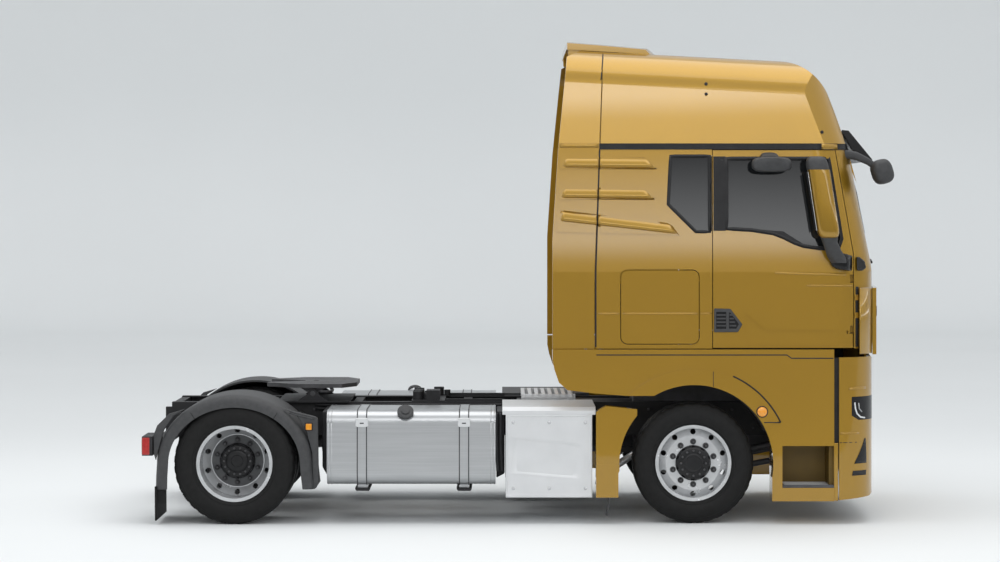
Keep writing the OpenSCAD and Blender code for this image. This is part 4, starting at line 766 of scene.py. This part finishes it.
SCREWS = [(-1.415, 0.798), (-1.415, 0.281), (-0.85, 0.798), (-0.85, 0.281), (-1.133, 0.798),
    (-1.133, 0.281)]
stud_piece("box_screws", [at(x, -1.2, z) for x, z in SCREWS], (0, -1, 0), 0.013, 0.005, "chassis", SILVER,
    16, 0.002)
strip("box_frame", rect(-1.466, -0.804, 0.219, 0.85), 0.014, 0.004, -1, "chassis", BOX_METAL, 0.006, BOX,
    closed=True)
PRESS = [(-1.444, 0.687), (-0.919, 0.639), (-0.872, 0.622), (-0.852, 0.599), (-0.874, 0.387),
    (-0.888, 0.366), (-0.914, 0.357), (-1.444, 0.397)]
PRESS_CENTRE = (-1.16, 0.52)
verts = []
for pull, y in ((-0.006, 1.2006), (0.004, 1.2004), (0.034, 1.1912), (0.046, 1.1904)):
    for x, z in PRESS:
        run = Vector((PRESS_CENTRE[0] - x, PRESS_CENTRE[1] - z)).normalized()
        verts.append(at(x + run.x * pull * 1.5, -y, z + run.y * pull))
press_n = len(PRESS)
add_mesh("box_press", verts, [(r * press_n + k, r * press_n + (k + 1) % press_n, (r + 1) * press_n
    + (k + 1) % press_n, (r + 1) * press_n + k) for r in range(3) for k in range(press_n)], "chassis",
    BOX_METAL)
for i in range(4):
    z = 0.277 + 0.14 * i
    patch("battery_cover_%d" % i, rect(-1.424, -0.846, z + 0.008, z + 0.092), 0.0, 1, "chassis", PLASTIC,
        0.006, 2, 0.009, BOX)
stud_piece("battery_latches", [at(x, 1.2, 0.25 + 0.14 * i) for x in (-1.3, -0.97) for i in range(5)],
    (0, 1, 0), 0.016, 0.012, "chassis", SILVER, 12, 0.002)

# Rear end: markers, tail lamps, coupling
for tag, side in SIDES:
    patch("guard_marker_frame" + tag, rect(-3.047, -2.988, 0.735, 0.795), 0.01, side, "chassis", BLACK,
        0.004, 2, 0.01, GUARD_PANEL)
    patch("guard_marker" + tag, rect(-3.041, -2.994, 0.741, 0.789), 0.017, side, "chassis", AMBER, 0.005, 3,
        0.01, GUARD_PANEL)
    block("tail_lens" + tag, rect(-4.325, -4.258, 0.543, 0.687), 0.864, 1.2372, side, RED, 0.012, 4)
    for i, (low, high, material) in enumerate(((1.115, 1.215, AMBER), (0.89, 0.96, LIGHT_STRIP))):
        block("tail_segment_%d" % i + tag, rect(-4.3285, -4.3, 0.565, 0.665), low, high, side, material,
            0.006, 3)
    block("tail_divider" + tag, rect(-4.3275, -4.3, 0.612, 0.618), 0.975, 1.1, side, BLACK, 0.002, 1)

COUPLING_X = -3.04
for i, radius in enumerate((0.16, 0.25, 0.33)):
    for tag, side in SIDES:
        path = []
        for k in range(17):
            turn = radians(15 + 110 * k / 16)
            path.append(at(COUPLING_X + radius * cos(turn), side * radius * sin(turn), 1.0475))
        tube("grease_groove_%d" % i + tag, path, 0.0032, "fifth_wheel", BLACK, 6)
tube("release_handle", side_path(-1, (-2.9, 0.3, 1.004), (-2.88, 0.42, 1.003), (-2.88, 0.56, 1.0),
    (-2.91, 0.62, 0.998), (-2.97, 0.62, 0.998)), 0.012, "fifth_wheel", BLACK)

# Dark brackets that close the gaps beside the tanks
for tag, side in SIDES:
    block("tank_front_bracket" + tag, [(-1.548, 0.345), (-1.482, 0.38), (-1.482, 0.87), (-1.548, 0.87)],
        0.42, 1.02, side, BLACK, 0.01)
    block("tank_rear_bracket" + tag, [(-2.925, 0.43), (-2.884, 0.36), (-2.884, 0.87), (-2.925, 0.87)], 0.42,
        1.0, side, BLACK, 0.01)
    for i, x in enumerate((-1.5475, -1.5145)):
        tube("bracket_pipe_%d" % i + tag, side_path(side, (x, 1.04, 0.86), (x, 1.045, 0.62),
            (x + 0.01, 1.04, 0.4)), 0.012, "chassis", STEEL)

# Rear mudguards: an oval band with a rounded shoulder and a lip over the tyre
GUARD_A = 0.614
GUARD_B = 0.54
GUARD_SECTION = ((0.59, 0.0), (0.9, 0.0), (1.12, 0.0), (1.19, 0.004), (1.222, 0.014), (1.24, 0.032),
    (1.2475, 0.056), (1.2475, 0.098), (1.2345, 0.098), (1.2345, 0.06), (1.226, 0.042), (1.208, 0.026),
    (1.185, 0.018), (1.12, 0.015), (0.9, 0.015), (0.59, 0.015))
GUARD_PATH = [(-0.622, 0.277 - AXLE_Z), (-0.62, -0.1)]
GUARD_PATH += [(-GUARD_A * cos(pi * i / 48), GUARD_B * sin(pi * i / 48)) for i in range(49)]
GUARD_PATH += [(0.622, -0.1), (0.634, 0.277 - AXLE_Z)]


def guard_place(x, z, depth):
    """X and Z of a place that lies a depth inward from the mudguard's curve."""
    if z < 0:
        inward = Vector((-copysign(1.0, x), 0.0))
    else:
        inward = -Vector((x / GUARD_A ** 2, z / GUARD_B ** 2)).normalized()
    return REAR_AXLE_X + x + inward.x * depth, AXLE_Z + z + inward.y * depth


def guard_ring(x, z, side):
    places = [(y, guard_place(x, z, depth)) for y, depth in GUARD_SECTION]
    return [at(place_x, side * y, place_z) for y, (place_x, place_z) in places]


for tag, side in SIDES:
    guard = loft("mudguard" + tag, [guard_ring(x, z, side) for x, z in GUARD_PATH], "chassis", PLASTIC, 60)
    if side < 0:
        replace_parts(guard, "rear_mudguards")
    for i, angle in enumerate((54, 126)):
        turn = radians(angle)
        x, z = GUARD_A * cos(turn), GUARD_B * sin(turn)
        seam = [guard_place(x, z, depth) for depth in (0.04, 0.097)]
        strip("guard_seam_%d" % i + tag, seam, 0.006, 0.002, side, "chassis", BLACK, 0.006, flat(1.2475))
    block("guard_front_panel" + tag, [(-3.215, 0.905), (-2.96, 0.842), (-2.946, 0.825), (-2.94, 0.33),
        (-2.958, 0.284), (-2.985, 0.284), (-2.995, 0.56), (-3.04, 0.74), (-3.12, 0.86)], 1.165, 1.205, side,
        PLASTIC, 0.008)
    block("guard_rear_panel" + tag, [(-3.985, 0.905), (-4.11, 0.868), (-4.205, 0.775), (-4.234, 0.7),
        (-4.234, 0.56), (-4.215, 0.5), (-4.2, 0.56), (-4.15, 0.74), (-4.075, 0.85)], 1.196, 1.222, side,
        PLASTIC, 0.008)
    strip("guard_panel_rib" + tag, [(-3.17, 0.872), (-2.975, 0.822)], 0.012, 0.006, side, "chassis",
        PLASTIC, 0.006, GUARD_PANEL)
    block("mud_flap" + tag, [(-4.222, 0.3), (-4.208, 0.3), (-4.206, 0.031), (-4.22, 0.031)], 0.6, 1.24,
        side, RUBBER, 0.004)
    for i, (x, z) in enumerate(((-3.13, 0.8), (-4.1, 0.8))):
        tube("guard_stay_%d" % i + tag, [at(x, side * 0.37, z), at(x, side * 0.5, z),
            at(x, side * 0.62, z + 0.02)], 0.02, "chassis", BLACK)

# Roof spoiler: a raised sheet that follows the roof
SPOILER_FRONT = -0.223
SPOILER_REAR = -0.984
SPOILER_NX, SPOILER_NY = 16, 32
SPOILER_HALF = 0.86
SHOULDER_Y, SHOULDER_R = 0.77, 0.33
verts = []
for layer in range(2):
    for i in range(SPOILER_NX + 1):
        t = i / SPOILER_NX
        x = SPOILER_FRONT + (SPOILER_REAR - SPOILER_FRONT) * t
        rise = min(t / 0.05, 1.0)
        under = 0.008 + 0.028 * rise + 0.017 * t
        crest = 3.726 - 0.0533 * (x + 0.697) + 0.012 + 0.036 * rise + 0.017 * t
        for j in range(SPOILER_NY + 1):
            y = SPOILER_HALF * (2 * j / SPOILER_NY - 1)
            past = max(abs(y) - SHOULDER_Y, 0.0)
            drop = SHOULDER_R - sqrt(SHOULDER_R ** 2 - past ** 2)
            bow = 0.1 * (y / SPOILER_HALF) ** 2 * (1 - t) ** 2
            verts.append(at(x - bow, y, crest - drop - (under if layer else 0.0)))
spoiler = add_mesh("spoiler_sheet", verts, slab_faces(SPOILER_NX + 1, SPOILER_NY), "cab", GOLD)
spoiler.data.set_sharp_from_angle(angle=radians(50))
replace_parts(spoiler, "roof_spoiler")
for tag, side in SIDES:
    block("spoiler_cheek" + tag, [(-0.978, 3.76), (-0.975, 3.69), (-0.69, 3.665), (-0.69, 3.745)], 0.8,
        0.835, side, GOLD, 0.006, body="cab")

# Ledges on the deflectors and the side walls
LEDGE_STEPS = 24
LEDGE_RAMP = 0.035
LEDGE_SLANT = 0.075


def ledge(name, start, end, height, reach, side, front_end):
    """Pressed rib: flush at its upper edge, proudest low down, with a slanted end."""
    section = ((0.0, -0.004), (0.22, 0.45), (0.55, 0.92), (0.66, 1.0), (0.76, 0.9), (1.0, -0.004))
    run = end[0] - start[0]
    rings = []
    for i in range(LEDGE_STEPS + 1):
        t = i / LEDGE_STEPS
        near = min((1 - t if front_end else t) * run / LEDGE_RAMP, 1.0)
        ring = []
        for frac, out in section:
            slant = LEDGE_SLANT * (1 - frac)
            x = start[0] + run * t + (-slant * t if front_end else slant * 0.35 * (1 - t))
            z = start[1] + (end[1] - start[1]) * t + height * (1 - frac)
            y = skin(x, z) + 0.001 + (reach * near * out if out > 0 else out)
            ring.append(at(x, side * y, z))
        rings.append(ring)
    loft(name, rings, "cab", GOLD, None)


LEDGES = (((-1.045, 2.785), (-0.285, 2.778)), ((-1.058, 2.546), (-0.3, 2.538)),
    ((-1.066, 2.366), (-0.11, 2.262)))
for tag, side in SIDES:
    for i, (rear, front) in enumerate(LEDGES):
        def along(x):
            return (x, rear[1] + (front[1] - rear[1]) * (x - rear[0]) / (front[0] - rear[0]))
        seam_x = -0.769 + 0.031 * max(0.0, rear[1] - 1.978) / 0.957
        ledge("deflector_ledge_%d" % i + tag, rear, along(seam_x - 0.006), 0.1, 0.034, side, False)
        ledge("wall_ledge_%d" % i + tag, along(seam_x + 0.006), front, 0.1, 0.034, side, True)

# Corner of the roof ring, flap cheeks and visor cheeks
for tag, side in SIDES:
    strip("ring_corner" + tag, [(1.004 + 0.016 * i, 2.962) for i in range(14)], 0.046, 0.017, side, "cab",
        GOLD, 0.006, skin, 0.9)
    strip("deflector_ring" + tag, [(-1.048, 2.968), (-0.746, 2.968)], 0.03, 0.009, side, "cab", GOLD)
    strip("flap_cheek" + tag, [(1.302 + 0.01 * i, 1.5925) for i in range(13)], 0.524, 0.034, side, "flap",
        GOLD, -0.009, skin, 0.96)
    block("visor_cheek" + tag, [(1.195, 3.1), (1.25, 3.094), (1.44, 2.862), (1.43, 2.852), (1.395, 2.858),
        (1.27, 2.945)], 0.9, 0.928, side, GLOSS, 0.004, body="cab")


# Roof bolts and seams, found on the panels themselves
def on_panel(names, x, z, side):
    """Place where a level line from the side meets the first of the panels named, or None."""
    for panel in (nodes[name] for name in names):
        start = panel.matrix_world.inverted() @ at(x, side * 3.0, z)
        found, place, _, _ = panel.ray_cast(start, (0, -side, 0))
        if found:
            return panel.matrix_world @ place
    return None


ROOF_BOLTS = ((0.102, 3.455), (0.102, 3.375), (1.01, 3.075))
for tag, side in SIDES:
    bolts = [on_panel(("roof_cap",), x, z, side) for x, z in ROOF_BOLTS]
    seam = [on_panel(("roof_cap", "side_deflectors"), -0.724 + 0.022 * i / 12, 3.485 + 0.215 * i / 12, side)
        for i in range(13)]
    seam = [place for place in seam if place is not None]
    if len(seam) > 1:
        tube("roof_seam" + tag, seam, 0.005, "cab", BLACK, 8)
    stud_piece("roof_bolts" + tag, [place for place in bolts if place is not None], (0, side, 0.12), 0.013,
        0.008, "cab", BLACK, 16, 0.002)

# Front face: wipers, grille, blank plate
for i, (start, end) in enumerate(((-0.8, -0.12), (-0.05, 0.63))):
    blade = []
    for k in range(9):
        y, z = start + (end - start) * k / 8, 2.045 + 0.03 * k / 8
        blade.append(at(front_face(y, z) + 0.006, y, z))
    tube("wiper_blade_%d" % i, blade, 0.01, "cab", BLACK, 8)
    rows = ((end, 1.985, 0.012), (end - 0.15, 2.02, 0.018), (end - 0.36, 2.058, 0.014))
    arm = smooth_path([at(front_face(y, z) + lift, y, z) for y, z, lift in rows])
    tube("wiper_arm_%d" % i, arm, 0.008, "cab", BLACK, 8)


def front_sheet(name, low_z, high_z, half, setback, thick, body, material):
    """Bowed plate across the front."""
    rings = []
    for y in (half * (2 * i / 24 - 1) for i in range(25)):
        x = FRONT_BOW_CENTRE + sqrt((NOSE_X - FRONT_BOW_CENTRE) ** 2 - y * y) - setback
        rings.append([at(a, y, b) for a, b in ((x, low_z), (x, high_z), (x - thick, high_z),
            (x - thick, low_z))])
    return loft(name, rings, body, material, None, False, 0.003)


front_sheet("grille_backing", 0.9, 1.312, 0.71, 0.03, 0.012, "cab", BLACK)
for i in range(5):
    front_sheet("grille_blade_%d" % i, 0.935 + 0.08 * i, 0.981 + 0.08 * i, 0.716, 0.012, 0.012, "cab",
        GLOSS)
front_sheet("plate_holder", 0.315, 0.425, 0.3, -0.008, 0.01, "chassis", GLOSS)
front_sheet("blank_plate", 0.322, 0.418, 0.285, -0.011, 0.006, "chassis", LIGHT_STRIP)
front_sheet("flap_band", 1.62, 1.7, 0.9, -0.04, 0.008, "flap", GLOSS)

# Seats and bunk: crowned cushions made by subdivision
SEAT_Y = 0.62
BACK_LEAN = atan2(-0.1, 0.62)


def cushion(name, centre, half, crown, lean=0.0, pinch=0.05):
    work = bmesh.new()
    bmesh.ops.create_cube(work, size=2.0)
    bmesh.ops.subdivide_edges(work, edges=work.edges[:], cuts=9, use_grid_fill=True)
    c, s = cos(lean), sin(lean)
    for vert in work.verts:
        x, y, z = vert.co
        norm = (abs(x) ** 6 + abs(y) ** 6 + abs(z) ** 6) ** (1 / 6)
        x, y, z = x / norm, y / norm, z / norm
        pull = pinch * (1 - z * z)
        wide_x = 1 - pull * (1 - min(1.0, y * y))
        wide_y = 1 - pull * (1 - min(1.0, x * x))
        lift = crown * (1 - min(1.0, x * x)) * (1 - min(1.0, y * y))
        px, py = x * half[0] * wide_x, y * half[1] * wide_y
        pz = z * (half[2] - crown) + copysign(lift, z)
        vert.co = Vector(centre) + Vector((px * c + pz * s, py, pz * c - px * s))
    mesh = bpy.data.meshes.new(name)
    work.to_mesh(mesh)
    work.free()
    obj = bpy.data.objects.new(name, mesh)
    scene.collection.objects.link(obj)
    mesh.materials.append(CLOTH)
    for face in mesh.polygons:
        face.use_smooth = True
    smooth = obj.modifiers.new("smooth", "SUBSURF")
    smooth.levels = 1
    smooth.render_levels = 1
    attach(obj, "cab")
    return obj


for tag, side in SIDES:
    y = side * SEAT_Y
    base = cushion("seat_base" + tag, at(0.32, y, 1.8), (0.258, 0.248, 0.078), 0.016)
    if side < 0:
        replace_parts(base, "seats")
    for i, z in enumerate((1.975, 2.165, 2.355)):
        cushion("seat_back_%d" % i + tag, at(0.125 - 0.161 * (z - 1.86), y, z),
            (0.06, 0.236 - 0.012 * i, 0.094), 0.01, BACK_LEAN, 0.03)
    cushion("headrest" + tag, at(0.0, y, 2.595), (0.044, 0.126, 0.09), 0.008, BACK_LEAN, 0.06)
    for i, shift in enumerate((-0.045, 0.045)):
        tube("headrest_post_%d" % i + tag, [at(0.012, y + shift, 2.43), at(0.004, y + shift, 2.49),
            at(-0.004, y + shift, 2.54)], 0.007, "cab", SILVER)
    prism("seat_pedestal" + tag, [(0.13, 1.408), (0.48, 1.408), (0.45, 1.56), (0.48, 1.72), (0.13, 1.72),
        (0.16, 1.56)], y - 0.155, y + 0.155, "cab", PLASTIC, "y", 0.012, 3)
mattress = cushion("bunk_mattress", at(-0.3975, 0.0, 1.765), (0.285, 1.115, 0.073), 0.014, 0.0, 0.03)
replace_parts(mattress, "bunk")
prism("bunk_base", rect(-0.684, -0.142, 1.408, 1.688), -0.848, 0.848, "cab", PLASTIC, "y", 0.012, 3)

# Stage: a pale floor that sweeps up into a backdrop
FLOOR_FRONT_Y = -7.0
WALL_Y = 36.0
SWEEP_R = 5.0
WALL_TOP = 26.0
HALF_STAGE = 60.0


def make_stage():
    profile = [(FLOOR_FRONT_Y, 0.0), (WALL_Y - SWEEP_R, 0.0)]
    for step in range(1, 13):
        turn = radians(90 * step / 12)
        profile.append((WALL_Y - SWEEP_R + SWEEP_R * sin(turn), SWEEP_R - SWEEP_R * cos(turn)))
    profile.append((WALL_Y, WALL_TOP))
    verts, faces = [], []
    for y, z in profile:
        verts += [(-HALF_STAGE, y, z), (HALF_STAGE, y, z)]
    for i in range(len(profile) - 1):
        faces.append((2 * i, 2 * i + 1, 2 * i + 3, 2 * i + 2))
    mesh = bpy.data.meshes.new("stage")
    mesh.from_pydata(verts, [], faces)
    stage = bpy.data.objects.new("stage", mesh)
    scene.collection.objects.link(stage)
    for face in mesh.polygons:
        face.use_smooth = True
    mesh.materials.append(surface("stage_pale", (0.76, 0.78, 0.785), (0.78, 0.8, 0.805), (0.8, 0.9),
        scale=0.2))


make_stage()

# Light: a pale world, dark below the horizon, with two long soft strips for the paint to mirror
SKY = ((-1.0, 0.3), (-0.01, 0.34), (0.004, 0.55), (0.056, 0.6), (0.0585, 6.0), (0.0665, 5.0), (0.098, 0.75),
    (0.13, 0.52), (0.22, 0.52), (0.2735, 0.62), (0.2755, 7.0), (0.288, 6.0), (0.3, 1.25), (0.42, 1.1),
    (1.0, 1.0))
world = bpy.data.worlds.new("studio")
scene.world = world
world.use_nodes = True
tree = world.node_tree
background = tree.nodes["Background"]
coords = tree.nodes.new("ShaderNodeTexCoord")
split = tree.nodes.new("ShaderNodeSeparateXYZ")
link(tree, coords.outputs["Generated"], split.inputs["Vector"])
sky = tree.nodes.new("ShaderNodeValToRGB")
while len(sky.color_ramp.elements) < len(SKY):
    sky.color_ramp.elements.new(0.5)
for element, (height, level) in zip(sky.color_ramp.elements, SKY):
    element.position = (height + 1) / 2
    element.color = (level * 0.97, level * 0.985, level, 1)
link(tree, spread(tree, split.outputs["Z"], -1.0, 1.0, "From"), sky.inputs["Fac"])
link(tree, sky.outputs["Color"], background.inputs["Color"])
background.inputs["Strength"].default_value = 0.85
plain = tree.nodes.new("ShaderNodeBackground")
plain.inputs["Color"].default_value = (0.84, 0.87, 0.88, 1)
path = tree.nodes.new("ShaderNodeLightPath")
choice = tree.nodes.new("ShaderNodeMixShader")
link(tree, path.outputs["Is Camera Ray"], choice.inputs["Fac"])
link(tree, background.outputs["Background"], choice.inputs[1])
link(tree, plain.outputs["Background"], choice.inputs[2])
link(tree, choice.outputs["Shader"], tree.nodes["World Output"].inputs["Surface"])


def area_lamp(name, place, target, size_x, size_y, power):
    lamp = bpy.data.lights.new(name, "AREA")
    lamp.shape = "RECTANGLE"
    lamp.size = size_x
    lamp.size_y = size_y
    lamp.energy = power
    obj = bpy.data.objects.new(name, lamp)
    scene.collection.objects.link(obj)
    obj.location = place
    obj.rotation_euler = (Vector(target) - Vector(place)).to_track_quat("-Z", "Y").to_euler()


area_lamp("top_softbox", (0, -1.0, 9.0), (0, 0, 0), 12.0, 7.0, 420)
area_lamp("front_softbox", (2.0, -13.0, 7.0), (0, 0, 1.5), 12.0, 5.0, 260)

# Camera: side view from the right, level, with the frame shifted down
CAMERA_X = -0.155
CAMERA_Z = 2.487
NEAR_SIDE_Y = -1.225
DISTANCE = 21.0
IMAGE_W = 1000
MM_PER_PIXEL = 7.83
SENSOR = 36.0
HORIZON_SHIFT = -0.074
camera = bpy.data.cameras.new("camera")
camera.sensor_width = SENSOR
camera.lens = SENSOR * DISTANCE / (MM_PER_PIXEL * IMAGE_W / 1000)
camera.shift_y = HORIZON_SHIFT
camera.clip_end = 300
camera_object = bpy.data.objects.new("camera", camera)
scene.collection.objects.link(camera_object)
camera_object.location = (CAMERA_X, NEAR_SIDE_Y - DISTANCE, CAMERA_Z)
camera_object.rotation_euler = (radians(90), 0, 0)
scene.camera = camera_object

scene.view_settings.view_transform = "Standard"
